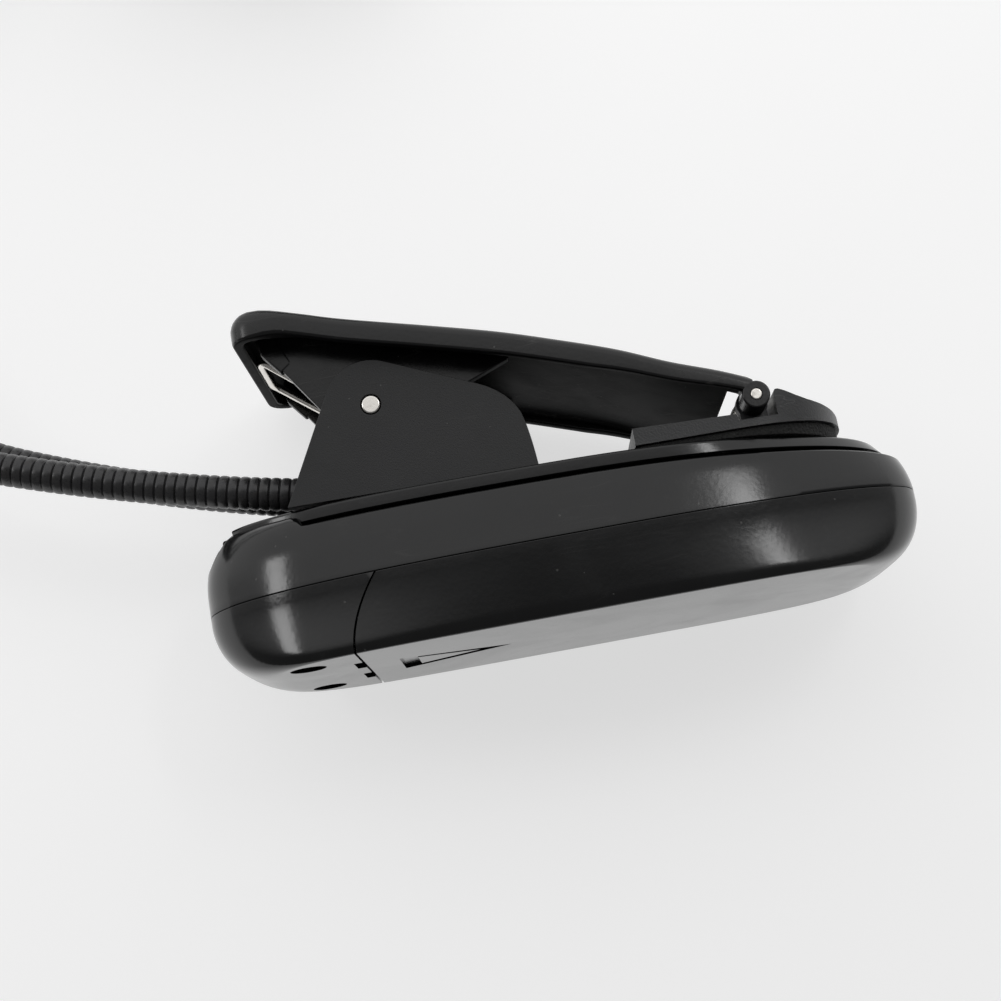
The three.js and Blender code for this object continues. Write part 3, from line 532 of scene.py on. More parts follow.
def outlinePoint(z, turn, inset, shrink=1.0):
    c, s = math.cos(turn), math.sin(turn)
    length, width, bluntness = outlineAt(z, c >= 0)
    x = math.copysign(abs(c) ** (2 / bluntness), c) * (length - inset) * shrink
    y = math.copysign(abs(s) ** (2 / bluntness), s) * (width - inset) * shrink
    return x, y


def frontPoint(level, turn):
    z, inset, shrink = level
    return Vector((*outlinePoint(z, turn, inset, shrink), z))


def frontShell():
    # both lower shells in one, a bowl with the flat face down
    top = body["partingZ"] - body["line"] / 2
    curve = [9.3 * (1 - math.cos(math.radians(a))) for a in range(0, 88, 5)]
    outer = [(z, 0, 1) for z in curve] + [(top - 0.1, 0, 1), (top - 0.03, 0.03, 1), (top, 0.1, 1)]
    wall = body["wall"]
    inner = [(z, wall, 1) for z in (top, 8.5, 7, 5.5, 4.2, 3.2, 2.4, 1.9, wall)]
    return growRings(outer + inner, frontPoint, body["sides"])


def seamCutter(offset, side):
    seam = []
    for z in [-1, 0, 1, 2, 3, 4, 5, 6, 7, 8, 9, 10, 11]:
        seam.append((door["seamX"] + offset + door["seamLean"] * (max(0, z) / 10) ** 1.9, z))
    return slab(seam + [(side * 60, 11), (side * 60, -1)], -30, 30)


def fixedEnd():
    screws = [(caseScrew["x"], side * caseScrew["y"]) for side in (-1, 1)]
    shell = combine(frontShell(), [seamCutter(-body["gap"] / 2, -1)], "INTERSECT")
    shell = combine(shell, [rod("Z", place, 3.6, body["wall"] - 0.4, 9.2) for place in screws], "UNION")
    holes = [rod("Z", place, caseScrew["recess"] / 2, -1, caseScrew["seatZ"]) for place in screws]
    holes += [rod("Z", place, caseScrew["shank"], 5, 12, 32) for place in screws]
    half = door["latchWidth"] / 2
    for side in (-1, 1):
        y = side * door["latchY"]
        holes.append(brick(door["seamX"] - 1.3, door["seamX"] + 1, y - half, y + half, -1, 1.1))
    shell = combine(shell, holes)
    onFace = lambda p: p.z < 0.02 and abs(p.y) < 15 and p.x > -39
    return soften(shell, 0.12, 50, 2, onFace)


def slidingDoor():
    shell = combine(frontShell(), [seamCutter(body["gap"] / 2, 1)], "INTERSECT")
    outer = slab([(-9, 0), (-24.2, 5.6), (-24.2, -5.6)], -1, 0.5, "Z")
    inner = slab([(-13.4, -0.3), (-21.8, -3.8), (-21.8, 3.1)], -2, 1, "Z")
    shell = combine(shell, [combine(outer, [inner])])
    onFace = lambda p: p.z < 0.02 and abs(p.y) < 15 and -29 < p.x < -5
    return soften(shell, 0.1, 50, 2, onFace)


def backPoint(level, turn, upright=False):
    # a level is the share of the way up, the drop below the back, the inset and the shrink.
    # A drop or an inset may be a pair: one beside the groove, one at the neck end
    share, drop, inset, shrink = level
    drops = drop if isinstance(drop, tuple) else (drop, drop)
    insets = inset if isinstance(inset, tuple) else (inset, inset)
    low = body["partingZ"] + body["line"] / 2
    z, x = 16.0, outlinePoint(16.0, turn, insets[0])[0]
    for _ in range(6):
        end = smooth((body["grooveX"] - x * shrink) / 2.2)
        # the plate's rim stands upright along the sides and follows the back's slope round the jaw end
        steep = 1 - smooth((x - 16) / 16) if upright else 0
        height = z + steep * min(0, backHeight(x) - body["plate"] - z)
        x, y = outlinePoint(height, turn, insets[0] + (insets[1] - insets[0]) * end)
        fall = drops[0] + (drops[1] - drops[0]) * end
        z = low + share * (backHeight(x) - fall - low)
    x, y = x * shrink, y * shrink
    return Vector((x, y, z if shrink == 1 else backHeight(x) - fall))


def scallops(endX):
    # two hollows side by side in the neck end
    cuts = []
    for side in (-1, 1):
        y, z = side * scallop["y"], backHeight(-44) - scallop["drop"]
        cuts.append(rod("X", (y, z), scallop["radius"], -60, endX - 0.8, 72))
        tip = bmesh.new()
        bmesh.ops.create_uvsphere(tip, u_segments=72, v_segments=36, radius=scallop["radius"])
        bmesh.ops.scale(tip, vec=(0.3, 1, 1), verts=tip.verts)
        bmesh.ops.translate(tip, vec=(endX - 0.9, y, z), verts=tip.verts)
        cuts.append(tip)
    return cuts


def backShell():
    drop, wall = body["shoulderDrop"], body["wall"]
    neckEnd = body["plate"] + 0.12
    inside = [(1, drop + wall, wall, s) for s in (0.05, 0.3, 0.6, 0.85)]
    inside += [(share, drop + wall, wall, 1) for share in (1, 0.93, 0.8, 0.6, 0.4, 0.2, 0)]
    outside = [(0, drop, 0.1, 1), (0.004, drop, 0.03, 1), (0.014, drop, 0, 1)]
    climb = (0.08, 0.16, 0.24, 0.32, 0.4, 0.48, 0.56, 0.63, 0.7, 0.76, 0.82, 0.87, 0.92, 0.96)
    outside += [(share, (drop, 0.9), 0, 1) for share in climb]
    edge = [(1, (drop + 0.22, 0.95), (0.0, 0.1), 1), (1, (drop + 0.07, 0.62), (0.08, 0.32), 1),
            (1, (drop, 0.42), (0.24, 0.62), 1), (1, (drop, 0.34), (0.34, 0.86), 1),
            (1, (drop, 0.42), (0.4, 1.0), 1), (1, (drop, neckEnd), (0.5, 1.04), 1),
            (1, (drop, neckEnd), 1.6, 1), (1, (drop, neckEnd), 3.2, 1)]
    cap = [(1, (drop, neckEnd), 3.2, s) for s in (0.9, 0.7, 0.45, 0.2, 0.04)]
    shell = growRings(inside + outside + edge + cap, backPoint, body["sides"])
    half = scallop["y"] + 3.9
    backing = brick(-45.2, scallop["backingX"], -half, half, 12.9, 16.6)
    shell = combine(shell, [backing], "UNION")
    return combine(shell, scallops(scallop["shellX"]))


def backPlate():
    ledge, under = (body["shoulderDrop"] - 0.15, body["plate"] + 0.04), body["plate"]
    neck, rim = body["neckInset"], body["rimInset"]
    base = [(1, ledge, neck, s) for s in (0.04, 0.3, 0.6, 0.85)] + [(1, ledge, neck, 1), (1, under, neck, 1)]
    edge = [(1, under, rim + 0.15, 1), (1, under - 0.12, rim, 1), (1, 0.45, rim, 1)]
    for a in (0.4, 0.8, 1.2, math.pi / 2):
        edge.append((1, 0.45 * (1 - math.sin(a)), rim + 0.45 * (1 - math.cos(a)), 1))
    cap = [(1, 0, rim + 1.2, 1)] + [(1, 0, rim + 1.2, s) for s in (0.9, 0.7, 0.45, 0.2, 0.04)]
    plate = growRings(base + edge + cap, lambda level, turn: backPoint(level, turn, True), body["sides"])
    return combine(plate, scallops(scallop["plateX"]))


finishPiece("frontEnd", fixedEnd(), "base", glossBlack, "gloss_black", ["front_end_shell"])
finishPiece("batteryDoor", slidingDoor(), "door", glossBlack, "gloss_black", ["battery_door"])
finishPiece("backShell", backShell(), "base", glossBlack, "gloss_black", ["back_shell"])
finishPiece("backPlate", backPlate(), "base", glossBlack, "gloss_black", ["back_plate"])
print("battery body made")

# clip
pivot = {"x": -21.8, "z": 33.0, "pin": 2.5, "cheekY": 14.5, "cheek": 2.0, "lobe": 6.2}
bracket = {"rearX": -34.8, "frontX": -1.3, "baseX": -12.0, "baseHeight": 1.9, "edge": 0.28,
           "screws": ((-6.5, -6.0), (-6.5, 6.0))}
lever = {"halfWidth": 17.5, "cap": 1.6, "rim": 3.4, "rimWall": 1.6, "endX": -38.9, "jawX": 28.3,
         "corner": 3.4,
         "endRound": 2.3, "sideRound": 1.3, "lip": 0.45, "skirtY": 12.2, "skirt": 1.5,
         "lobe": 4.2, "sides": 288}
jaw = {"x": 28.2, "z": 24.2, "pin": 1.5, "barrel": 1.85, "halfWidth": 15.5, "startX": 11.6, "endX": 41.0,
       "noseX": 30.9, "edge": 0.3}
spring = {"wire": 1.15, "coil": 7.2, "y": 7.5, "turns": 2.4, "thumbX": -36.65, "thumbZ": 44.3}
topLine = [(-36.4, 48.2), (-33.6, 48.0), (-29, 46.6), (-23.4, 44.8), (-12.1, 41.7), (-3.4, 39.2), (4.5, 36.5),
           (11.5, 33.9), (18.1, 30.9), (24, 28.6), (28.3, 26.65)]


def cheekOutline():
    foot = backHeight(bracket["rearX"]) + body["gap"]
    tip = backHeight(bracket["frontX"]) + body["gap"]
    line = [(bracket["rearX"], foot)] + arc(pivot["x"], pivot["z"], pivot["lobe"], math.pi - 0.47, 1.16, 24)
    line += [(-10.4, 34.62)] + bow((-10.4, 34.62), (-9.4, 34.2), (-8.5, 33.75), 4)
    line += bow((-8.5, 33.75), (-3.7, 31.9), (-2.3, 28.2), 14)
    return line + bow((-2.3, 28.2), (-1.6, 25.8), (bracket["frontX"], tip), 6)


def clipBracket():
    high = body["gap"]
    foot = [(x, backHeight(x) + high) for x in (bracket["baseX"], bracket["frontX"] - 0.2)]
    top = [(x, z + bracket["baseHeight"] - high) for x, z in reversed(foot)]
    sides = []
    for low in (-pivot["cheekY"], pivot["cheekY"] - pivot["cheek"]):
        sides.append(slab(cheekOutline(), low, low + pivot["cheek"]))
    whole = combine(slab(foot + top, -13.5, 13.5), sides, "UNION")
    holes = [rod("Z", place, 1.3, 18, 26, 32) for place in bracket["screws"]]
    bore = rod("Y", (pivot["x"], pivot["z"]), pivot["pin"] / 2 + 0.15, -20, 20, 64)
    whole = combine(whole, holes + [bore])
    return soften(whole, bracket["edge"], 40, 3, lambda p: abs(p.y) > 11 and p.z > 21.4)


def topAt(x):
    # Catmull-Rom through the top line, by x
    if x <= topLine[0][0]:
        return topLine[0][1]
    last = len(topLine) - 1
    i = next((k for k in range(last) if topLine[k + 1][0] >= x), last - 1)
    a, b, c, d = (topLine[min(last, max(0, k))] for k in (i - 1, i, i + 1, i + 2))
    low, high = 0.0, 1.0
    spline = lambda t, n: 0.5 * (2 * b[n] + (c[n] - a[n]) * t
                                 + (2 * a[n] - 5 * b[n] + 4 * c[n] - d[n]) * t * t
                                 + (3 * b[n] - a[n] - 3 * c[n] + d[n]) * t ** 3)
    for _ in range(18):
        t = (low + high) / 2
        low, high = (t, high) if spline(t, 0) < x else (low, t)
    return spline(low, 1)


def leverPlan(turn, insetEnd, insetSide, insetJaw=0.0):
    # where a ray at this angle meets the lever's plan, a rectangle rounded at the thumb end
    x0, x1 = lever["endX"] + insetEnd, lever["jawX"] - insetJaw
    middle, halfLength = (x0 + x1) / 2, (x1 - x0) / 2
    half = lever["halfWidth"] - insetSide
    dx, dy = math.cos(turn), math.sin(turn)
    radius = max(0.3, lever["corner"] - max(insetEnd, insetSide)) if dx < 0 else 0.3
    low, high = 0.0, 80.0
    for _ in range(34):
        reach = (low + high) / 2
        qx, qy = abs(reach * dx) - halfLength + radius, abs(reach * dy) - half + radius
        outside = math.hypot(max(qx, 0), max(qy, 0)) + min(max(qx, qy), 0) - radius
        low, high = (reach, high) if outside < 0 else (low, reach)
    return middle + low * dx, low * dy, middle


def leverPoint(level, turn):
    kind, amount, shrink = level
    x, y, _ = leverPlan(turn, 0, 0)
    thumb = smooth((-31 - x) / 6)
    rounding = lever["sideRound"] + (lever["endRound"] - lever["sideRound"]) * thumb
    depth = lever["rim"] - 0.055 * max(0, x - 8) + 0.7 * thumb
    lip = lever["lip"]
    if kind == "shoulder":
        end, side = lever["endRound"] * (1 - math.sin(amount)), lever["sideRound"] * (1 - math.sin(amount))
        drop = rounding * (1 - math.cos(amount))
    elif kind == "lipOut":
        end = side = lip * (1 - math.cos(amount))
        drop = depth - lip * (1 - math.sin(amount))
    elif kind == "lipIn":
        end = side = lever["rimWall"] - lip * (1 - math.sin(amount))
        drop = depth - lip * (1 - math.cos(amount))
    else:
        end = side = lever["rimWall"] + amount
        foot = min(0.6, max(0.05, depth - lip - lever["cap"] - 0.1))
        drop = lever["cap"] + (0 if kind == "pocket" else max(0.0, foot - amount))
    x, y, middle = leverPlan(turn, end, side, end if kind in ("lipIn", "fillet", "pocket") else 0.0)
    x, y = middle + (x - middle) * shrink, y * shrink
    return Vector((x, y, topAt(x) - drop))


def skirtOutline():
    line = [(-36.2, 45.2), (-28.5, 33.9)] + arc(pivot["x"], pivot["z"], lever["lobe"], 3.75, 5.3, 16)
    line += [(-8.6, 34.3), (-2.6, 36.6), (-2.6, 38), (-12.1, 41), (-23.4, 44), (-33, 47)]
    return line


def clipLever():
    quarter = math.pi / 2
    top = [("shoulder", 0, s) for s in (0.04, 0.25, 0.5, 0.72, 0.88, 0.96)]
    edge = [("shoulder", quarter * i / 7, 1) for i in range(8)]
    lip = [(kind, quarter * i / 4, 1) for kind in ("lipOut", "lipIn") for i in range(5)]
    fillet = [("fillet", amount, 1) for amount in (0.0, 0.08, 0.25, 0.6)]
    ceiling = [("pocket", 0.6, s) for s in (0.96, 0.85, 0.7, 0.5, 0.25, 0.04)]
    tray = growRings(top + edge + lip + fillet + ceiling, leverPoint, lever["sides"])
    tray = combine(tray, [brick(25.3, 40, -12.85, 12.85, 15, 30)])
    extras = []
    for side in (-1, 1):
        low, high = sorted((side * lever["skirtY"], side * (lever["skirtY"] - lever["skirt"])))
        skirt = slab(skirtOutline(), low, high)
        extras.append(soften(skirt, 0.18, 30, 2, lambda p: p.z < 40))
        low, high = sorted((side * lever["halfWidth"], side * 13))
        extras.append(soften(rod("Y", (jaw["x"], jaw["z"]), jaw["barrel"], low, high, 56), 0.25, 60, 3))
        inner, outer = sorted((side * 12.3, side * 10.6))
        rib = slab([(-35.6, 43.2), (-33.2, 40.2), (-31.6, 41.4), (-33.6, 46.2), (-35.8, 46.4)], inner, outer)
        extras.append(soften(rib, 0.3, 30, 2))
    whole = combine(tray, extras, "UNION")
    bores = [rod("Y", (pivot["x"], pivot["z"]), pivot["pin"] / 2 + 0.05, -20, 20, 56),
             rod("Y", (jaw["x"], jaw["z"]), jaw["pin"] / 2 + 0.08, -20, 20, 48)]
    return combine(whole, bores)


def wire(name, points, radius, body, slotName, material, replaced):
    # a bent wire as a curve, then made a mesh with its ends closed
    curve = bpy.data.curves.new(name, "CURVE")
    curve.dimensions = "3D"
    curve.bevel_depth = radius
    curve.bevel_resolution = 4
    curve.use_fill_caps = True
    line = curve.splines.new("POLY")
    line.points.add(len(points) - 1)
    for spot, point in zip(line.points, points):
        spot.co = (*point, 1)
    holder = bpy.data.objects.new(name, curve)
    scene.collection.objects.link(holder)
    shape = holder.evaluated_get(bpy.context.evaluated_depsgraph_get())
    bm = bmesh.new()
    bm.from_mesh(shape.to_mesh())
    shape.to_mesh_clear()
    bpy.data.objects.remove(holder)
    return finishPiece(name, bm, body, material, slotName, replaced, 60)


def rounded(points, share=0.28, steps=5):
    # the same path with its corners bent round instead of broken
    path = [points[0]]
    for before, corner, after in zip(points, points[1:], points[2:]):
        b, c, a = Vector(before), Vector(corner), Vector(after)
        reach = min((b - c).length, (a - c).length) * share * 1.6
        start, end = c + (b - c).normalized() * reach, c + (a - c).normalized() * reach
        path += [tuple((1 - t) ** 2 * start + 2 * t * (1 - t) * c + t * t * end)
                 for t in (i / steps for i in range(steps + 1))]
    return path + [points[-1]]


def springCoil(side):
    radius = (spring["coil"] - spring["wire"]) / 2
    count = int(spring["turns"] * 24)
    coil = []
    for i in range(count + 1):
        angle = i / 24 * 2 * math.pi + 2.62
        y = side * (spring["y"] - 2.0 + 4.0 * i / count)
        coil.append((pivot["x"] + radius * math.cos(angle), y, pivot["z"] + radius * math.sin(angle)))
    return coil


def springPath():
    near, far = springCoil(-1), springCoil(1)
    leg = lambda side: (-9.6, side * (spring["y"] + 2.2), backHeight(-9.6) + 3.0)
    x, z = spring["thumbX"], spring["thumbZ"]
    bend = [(x + 0.7, -6.2, z - 0.2), (x, -5.0, z), (x, 5.0, z), (x + 0.7, 6.2, z - 0.2)]
    bridge = rounded([near[0], *bend, far[0]])
    return [leg(-1)] + near[::-1] + bridge[1:-1] + far + [leg(1)]


def jawOutline(inset, steps=40):
    half = jaw["halfWidth"] - inset
    line = [(jaw["startX"] + inset, half), (jaw["startX"] + inset, -half)]
    for i in range(steps + 1):
        angle = -math.pi / 2 + math.pi * i / steps
        x = 25 + (jaw["endX"] - inset - 25) * abs(math.cos(angle)) ** (2 / 2.4)
        line.append((x, math.copysign(half * abs(math.sin(angle)) ** (2 / 2.4), math.sin(angle))))
    return line


def shoeBottom(x):
    return 20.75 - 0.012 * (x - jaw["startX"])


def jawShoe():
    start, end, nose = jaw["startX"], jaw["endX"], jaw["noseX"]
    side = [(start - 2, shoeBottom(start)), (end + 1, shoeBottom(end)), (end + 1, 21.1), (40.6, 21.8),
            (39.4, 22.35), (37.5, 22.95), (35.4, 23.5), (33.9, 24.1), (32.6, 24.75), (nose + 0.7, 25.15),
            (nose + 0.25, 25.1), (nose, 24.7),
            (nose, 21.6), (25.6, 21.6), (25.4, 22.5), (start - 1, 23.1)]
    shoe = combine(slab(side, -20, 20), [slab(jawOutline(0), 15, 30, "Z")], "INTERSECT")
    knuckle = rod("Y", (jaw["x"], jaw["z"]), 2.1, -12.5, 12.5, 56)
    shoe = combine(shoe, [knuckle, brick(26.4, 30, -12.5, 12.5, 21.4, 23.6)], "UNION")
    cuts = [rod("Y", (jaw["x"], jaw["z"]), jaw["pin"] / 2 + 0.15, -20, 20, 48),
            brick(22.8, nose - 0.1, -10.9, -6.3, 21.75, 28)]
    shoe = combine(shoe, cuts)
    return soften(shoe, jaw["edge"], 50, 3, lambda p: p.x < 25 or (p.z > 24 and p.x > nose - 0.05))


def jawPad():
    outline = slab(jawOutline(0.5, 64), 15, 30, "Z")
    under = [(x, backHeight(x) + 0.15) for x in range(12, 43, 2)]
    strip = slab(under + [(42, shoeBottom(42) - 0.1), (12, shoeBottom(12) - 0.1)], -20, 20)
    pad = combine(strip, [outline], "INTERSECT")
    return soften(pad, 0.12, 40, 2)


finishPiece("clipBracket", clipBracket(), "base", erodedBlack, "satin_black", ["clip_bracket"])
finishPiece("clipLever", clipLever(), "lever", leverBlack, "gloss_black", ["clip_lever"])
finishPiece("jawShoe", jawShoe(), "jaw", shoeBlack, "satin_black", ["jaw_shoe"])
pad = finishPiece("jawPad", jawPad(), "jaw", foamBlack, "foam", ["jaw_pad"])
pin = rod("Y", (pivot["x"], pivot["z"]), pivot["pin"] / 2, -pivot["cheekY"] - 0.1, pivot["cheekY"] + 0.1, 64)
finishPiece("pivotPin", soften(pin, 0.22, 60, 3), "base", brightSteel, "steel", ["pivot_pin"])
pin = rod("Y", (jaw["x"], jaw["z"]), jaw["pin"] / 2, -lever["halfWidth"] - 0.1, lever["halfWidth"] + 0.1, 48)
finishPiece("jawPin", soften(pin, 0.15, 60, 3), "lever", brightSteel, "steel", ["jaw_pin"])
wire("leverSpring", springPath(), spring["wire"] / 2, "lever", "steel", brightSteel, ["lever_spring"])
jawWire = [(23.3, -10.1, 22.3)]
for i in range(61):
    angle = 4.2 - i / 24 * 2 * math.pi
    jawWire.append((jaw["x"] + 1.75 * math.cos(angle), -10.1 + 3 * i / 60, jaw["z"] + 1.75 * math.sin(angle)))
wire("jawSpring", jawWire, 0.28, "lever", "steel", brightSteel, ["jaw_spring"])
print("clip made")

# gooseneck arms
neck = {
    "diameter": 4.7, "startX": -24.0, "startZ": 23.5, "y": 2.75, "splay": 7.75, "clampX": -27.0,
    "ferrule": 8.0, "pitch": 1.45, "groove": 0.3, "sides": 18,
}
curve = {
    "straight": 52.0, "riseRadius": 60.0, "riseTo": 100.0, "fallRadius": 46.0, "fallTo": 200.0, "joints": 6,
}
arms = [
    {"name": "near", "side": -1, "leave": 9.5, "lift": 10.0},
    {"name": "far", "side": 1, "leave": 10.5, "lift": 12.5},
]


def armLine(arm):
    # points every half millimetre along the arm, and its length
    leaving = arm["leave"] + arm["lift"]
    rise = math.radians(curve["riseTo"] - leaving) * curve["riseRadius"]
    total = curve["straight"] + rise + math.radians(curve["fallTo"] - curve["riseTo"]) * curve["fallRadius"]
    step, x, z, points = 0.5, neck["startX"], neck["startZ"], []
    for i in range(int(total / step) + 2):
        s = i * step
        spreadOut = smooth((s - 62) / (total - 82))
        points.append(Vector((x, arm["side"] * (neck["y"] + neck["splay"] * spreadOut), z)))
        s += step / 2
        if s < curve["straight"]:
            heading = math.radians(arm["leave"] + arm["lift"] * s / curve["straight"])
        elif s < curve["straight"] + rise:
            heading = math.radians(leaving) + (s - curve["straight"]) / curve["riseRadius"]
        else:
            heading = math.radians(curve["riseTo"]) + (s - curve["straight"] - rise) / curve["fallRadius"]
        x, z = x - step * math.cos(heading), z + step * math.sin(heading)
    return points, total


def alongArm(points, s):
    place = min(max(0.0, s / 0.5), len(points) - 1.001)
    i = int(place)
    return points[i].lerp(points[i + 1], place - i), (points[i + 1] - points[i]).normalized()


def neckTube(points, start, end):
    # a wound neck: flat crowned rings with a narrow groove between them
    radius, pitch = neck["diameter"] / 2, neck["pitch"]

    def place(level, turn):
        s, reach = level
        centre, forward = alongArm(points, s)
        sideways = forward.cross(Vector((forward.z, 0, -forward.x))).normalized()
        return centre + reach * (math.cos(turn) * sideways + math.sin(turn) * forward.cross(sideways))

    first, last = math.ceil(start / pitch - 1e-6), math.floor(end / pitch + 1e-6)
    levels = []
    for ring in range(first, last):
        for share, depth in ((0.0, neck["groove"]), (0.12, 0.08), (0.35, 0.0), (0.65, 0.0), (0.88, 0.08)):
            levels.append(((ring + share) * pitch, radius - depth))
    levels.append((last * pitch, radius - neck["groove"]))
    return growRings(levels, place, neck["sides"])


def makeArm(arm):
    points, total = armLine(arm)
    spacing = (total - neck["ferrule"]) / curve["joints"]
    joints = [neck["ferrule"] + spacing * i for i in range(curve["joints"])]
    cuts = [1.0] + [(a + b) / 2 for a, b in zip(joints, joints[1:])] + [total - 0.6]
    cuts = [round(cut / neck["pitch"]) * neck["pitch"] for cut in cuts]
    for i, joint in enumerate(joints):
        stands = [f"arm_{arm['name']}_link_{i + 1}"] + ([f"arm_{arm['name']}_root"] if i == 0 else [])
        bm = neckTube(points, cuts[i], cuts[i + 1])
        part = finishPiece(f"{arm['name']}Neck{i + 1}", bm, None, neckBlack, "gooseneck_steel", stands, 32)
        reach = spacing * 0.35 if i else 3.0
        alongArm(points, joint - reach)[0] * mm
        alongArm(points, joint + reach)[0] * mm
        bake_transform(part)
    return points, total


def armClamp():
    floor = lambda x: backHeight(x) + body["gap"]
    x0 = neck["clampX"]
    side = [(x0, floor(x0)), (-15, floor(-15)), (-15, 27), (-16, 27.6), (x0 + 0.8, 28), (x0, 27.2)]
    block = soften(slab(side, -6.8, 6.8), 0.4, 30, 3)
    sockets = []
    for arm in arms:
        points, _ = armLine(arm)
        start, forward = alongArm(points, 0)
        hole = rod("Z", (0, 0), neck["diameter"] / 2 + 0.3, -0.3, 14, 40)
        turned = forward.to_track_quat("Z", "Y").to_matrix()
        bmesh.ops.rotate(hole, cent=(0, 0, 0), matrix=turned, verts=hole.verts)
        bmesh.ops.translate(hole, vec=start, verts=hole.verts)
        sockets.append(hole)
    return combine(block, sockets)


finishPiece("armClamp", armClamp(), "base", erodedBlack, "satin_black", ["arm_clamp"])
armEnds = {arm["name"]: makeArm(arm) for arm in arms}
print("arms made")

# lamp heads
head = {"length": 50.0, "width": 16.6, "thickness": 9.4, "lens": 1.4, "rear": 5.0, "crown": 1.6, "wall": 1.6,
        "solidRear": 6.0, "buttonX": 13.0, "button": 6.0, "tilt": 20.0, "sides": 160}


def headPlan(turn, inset):
    # a slot shape: full round at the front, small corners at the neck end
    halfLength, half = head["length"] / 2 - inset, head["width"] / 2 - inset
    dx, dy = math.cos(turn), math.sin(turn)
    radius = half if dx > 0 else max(0.4, head["rear"] - inset)
    low, high = 0.0, 40.0
    for _ in range(30):
        reach = (low + high) / 2
        qx, qy = abs(reach * dx) - halfLength + radius, abs(reach * dy) - half + radius
        outside = math.hypot(max(qx, 0), max(qy, 0)) + min(max(qx, qy), 0) - radius
        low, high = (reach, high) if outside < 0 else (low, reach)
    return head["length"] / 2 + low * dx, low * dy


def headPoint(level, turn):
    z, inset, shrink = level
    x, y = headPlan(turn, inset)
    middle = head["length"] / 2
    return Vector((middle + (x - middle) * shrink, y * shrink, z))


def headHousing():
    top, low, crown = head["thickness"] / 2, -head["thickness"] / 2, head["crown"]
    quarter = math.pi / 2
    cap = [(top, crown, s) for s in (0.05, 0.4, 0.75, 0.93)]
    turns = [quarter * i / 8 for i in range(9)]
    edge = [(top - crown * (1 - math.cos(a)), crown * (1 - math.sin(a)), 1) for a in turns]
    skirt = [(low + 0.5, 0, 1), (low + 0.15, 0.12, 1), (low, 0.45, 1), (low, 1.2, 1), (low + 0.15, 1.5, 1)]
    inner = [(low + 0.4, head["wall"], 1)] + [(top - 2.8, head["wall"], s) for s in (1, 0.9, 0.5, 0.05)]
    shell = growRings(cap + edge + skirt + inner, headPoint, head["sides"])
    rear = combine(brick(0.8, head["solidRear"], -6.4, 6.4, low + 0.3, top - 2), [])
    collar = soften(rod("X", (0, 0), neck["diameter"] / 2 + 1.2, body["gap"], 4, 64), 0.3, 60, 3)
    whole = combine(shell, [rear, collar], "UNION")
    cuts = [rod("Z", (head["buttonX"], 0), head["button"] / 2 + 0.3, -1, top + 1, 64),
            rod("X", (0, 0), neck["diameter"] / 2 + 0.2, -3, 2.6, 48), rod("X", (0, 0), 1.2, 0, 8, 24)]
    return combine(whole, cuts)


def headLens():
    low = -head["thickness"] / 2 + 0.4
    inset = head["wall"] + body["gap"]
    rings = [(low, inset, s) for s in (0.05, 0.6, 0.92)] + [(low, inset + 0.2, 1), (low + 0.2, inset, 1)]
    rings += [(low + head["lens"], inset, 1)] + [(low + head["lens"], inset, s) for s in (0.92, 0.6, 0.05)]
    rear = brick(-1, head["solidRear"] + 0.3, -20, 20, -20, 20)
    return combine(growRings(rings, headPoint, head["sides"]), [rear])


def headButton():
    top = head["thickness"] / 2
    stem = soften(rod("Z", (head["buttonX"], 0), head["button"] / 2, 1.3, top + 0.9, 64), 0.5, 60, 4,
                  lambda p: p.z > top)
    x0, x1 = head["buttonX"] - 1.6, head["buttonX"] + 1.6
    stem = combine(stem, [brick(x0, x1, y - 0.2, y + 0.2, top + 0.7, top + 2) for y in (-0.9, 0, 0.9)])
    return combine(stem, [rod("Z", (head["buttonX"], 0), head["button"] / 2 + 1.2, 1.3, 1.6, 64)], "UNION")


def makeHead(arm, points, total):
    end, _ = alongArm(points, total - 2)
    place = Matrix.Translation(end) @ Matrix.Rotation(math.radians(head["tilt"]), 4, "Y")
    link = f"arm_{arm['name']}_6"
    for kind, make, rides, material, slotName in (
            ("housing", headHousing, link, glossBlack, "gloss_black"),
            ("lens", headLens, link, clearLens, "clear_lens"),
            ("button", headButton, f"button_{arm['name']}", greyRubber, "button_rubber")):
        bm = make()
        bmesh.ops.transform(bm, matrix=place, verts=bm.verts)
        name, node = f"{arm['name']}Head{kind.title()}", f"head_{arm['name']}_{kind}"
        finishPiece(name, bm, rides, material, slotName, [node])


for arm in arms:
    makeHead(arm, *armEnds[arm["name"]])
print("heads made")

# finishes of the CAD nodes that stay
stays = {"battery_tray": trayBlack, "driver_board": greenBoard}
for place in ("near", "middle", "far"):
    stays[f"battery_{place}"] = cellJacket
    stays[f"cell_spring_{place}"] = contactSteel
for end in ("jaw", "neck"):
    for kind in ("bridge", "tab"):
        stays[f"contact_{kind}_{end}_end"] = contactSteel
for screw in ("case_screw_near", "case_screw_far", "bracket_screw_1", "bracket_screw_2"):
    stays[screw] = brightSteel
for arm in arms:
    stays[f"head_{arm['name']}_led_board"] = greenBoard
    for i in (1, 2):
        stays[f"head_{arm['name']}_led_{i}"] = ledResin
for name, material in stays.items():
    nodes[name].material_slots[0].material = material

# light, table and camera
table = {"y": 19.7, "size": 900, "paintedGlow": 0.68}
sky = {"low": 0.15, "high": 0.95, "from": 0.02, "to": 0.42}
lights = [
    {"name": "leftWindow", "place": (-372, -290, 150), "aim": (-20, 0, 15), "size": (70, 120), "power": 0.15},
    {"name": "rightWindow", "place": (205, -430, 175), "aim": (25, 0, 15), "size": (50, 120), "power": 0.15},
]
camera = {"place": (-9.2, -222.0, -28.7), "yaw": -0.010, "pitch": 0.2165, "roll": -0.182, "lens": 58.3}


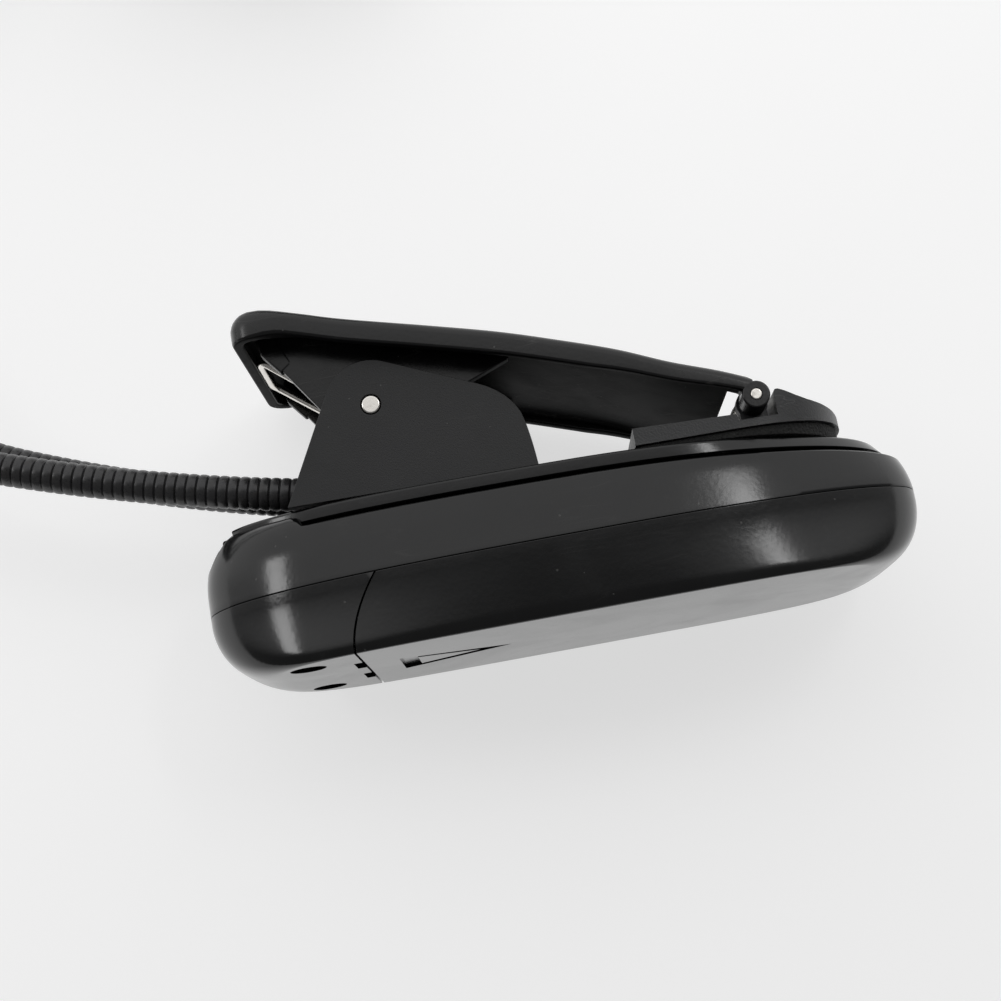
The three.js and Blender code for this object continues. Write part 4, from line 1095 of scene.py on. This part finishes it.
def tableMaterial():
    # a sheet that glows with painted light, so shadows on it stay faint; the glow is darker towards low Z,
    # painted shade
    sheet = {"Roughness": 0.6, "Emission Strength": table["paintedGlow"]}
    material, tree, shader = newMaterial("white table", sheet)
    place = tree.nodes.new("ShaderNodeTexCoord").outputs["Object"]
    cloud = addNode(tree, "ShaderNodeTexNoise", {"Scale": 14.0, "Detail": 4.0}, {"Vector": place})
    tone = mixColours(tree, cloud.outputs[0], (0.42, 0.42, 0.42), (0.46, 0.46, 0.462))
    tree.links.new(tone, shader.inputs["Base Color"])
    across = addNode(tree, "ShaderNodeSeparateXYZ", {}, {0: place})
    # painted shade: the glow fades from full towards low Z
    rise = spread(tree, across.outputs["Z"], 0.86, 1.0, -0.12, 0.1)
    tree.links.new(rise, shader.inputs["Emission Color"])
    clear = tree.nodes.new("ShaderNodeBsdfTransparent")
    pick = tree.nodes.new("ShaderNodeMixShader")
    facing = tree.nodes.new("ShaderNodeNewGeometry")
    tree.links.new(facing.outputs["Backfacing"], pick.inputs[0])
    tree.links.new(shader.outputs[0], pick.inputs[1])
    tree.links.new(clear.outputs[0], pick.inputs[2])
    tree.links.new(pick.outputs[0], tree.nodes["Material Output"].inputs["Surface"])
    return material


def makeTable():
    bm = bmesh.new()
    bmesh.ops.create_grid(bm, x_segments=8, y_segments=8, size=table["size"])
    bmesh.ops.rotate(bm, cent=(0, 0, 0), matrix=Matrix.Rotation(math.pi / 2, 3, "X"), verts=bm.verts)
    bmesh.ops.translate(bm, vec=(0, table["y"], 0), verts=bm.verts)
    bmesh.ops.scale(bm, vec=(mm, mm, mm), verts=bm.verts)
    top = looseObject(bm, "table")
    top.data.materials.append(tableMaterial())


def makeLight(light):
    lamp = bpy.data.lights.new(light["name"], "AREA")
    lamp.shape = "RECTANGLE"
    lamp.size, lamp.size_y = (value * mm for value in light["size"])
    lamp.energy = light["power"]
    holder = bpy.data.objects.new(light["name"], lamp)
    scene.collection.objects.link(holder)
    holder.location = Vector(light["place"]) * mm
    aim = Vector(light["aim"]) * mm - holder.location
    holder.rotation_euler = aim.to_track_quat("-Z", "Y").to_euler()


def makeWorld():
    world = bpy.data.worlds.new("studio")
    scene.world = world
    world.use_nodes = True
    tree = world.node_tree
    # a bright room above, darker towards whoever stands in front of the table
    outward = tree.nodes.new("ShaderNodeTexCoord").outputs["Generated"]
    way = addNode(tree, "ShaderNodeSeparateXYZ", {}, {0: outward})
    rise = {"From Min": sky["from"], "From Max": sky["to"], "To Min": sky["low"], "To Max": sky["high"]}
    level = addNode(tree, "ShaderNodeMapRange", {**rise, "interpolation_type": "SMOOTHSTEP"},
                    {"Value": way.outputs["Z"]})
    tree.nodes["Background"].inputs["Color"].default_value = (1, 1, 1, 1)
    tree.links.new(level.outputs[0], tree.nodes["Background"].inputs["Strength"])


def makeCamera():
    lens = bpy.data.cameras.new("camera")
    lens.lens = camera["lens"]
    lens.sensor_width = 36
    lens.clip_start = 0.01
    view = bpy.data.objects.new("camera", lens)
    scene.collection.objects.link(view)
    turn = Matrix.Rotation(camera["yaw"], 3, "Z") @ Matrix.Rotation(camera["pitch"], 3, "X")
    forward = turn @ Vector((0, 1, 0))
    right = Matrix.Rotation(camera["yaw"], 3, "Z") @ Vector((1, 0, 0))
    up = right.cross(forward)
    c, s = math.cos(camera["roll"]), math.sin(camera["roll"])
    across, upward = c * right + s * up, -s * right + c * up
    placed = Matrix((across, upward, -forward)).transposed().to_4x4()
    placed.translation = Vector(camera["place"]) * mm
    view.matrix_world = placed
    scene.camera = view


makeTable()
for light in lights:
    makeLight(light)
makeWorld()
makeCamera()
scene.view_settings.view_transform = "Standard"
print("scene lit")
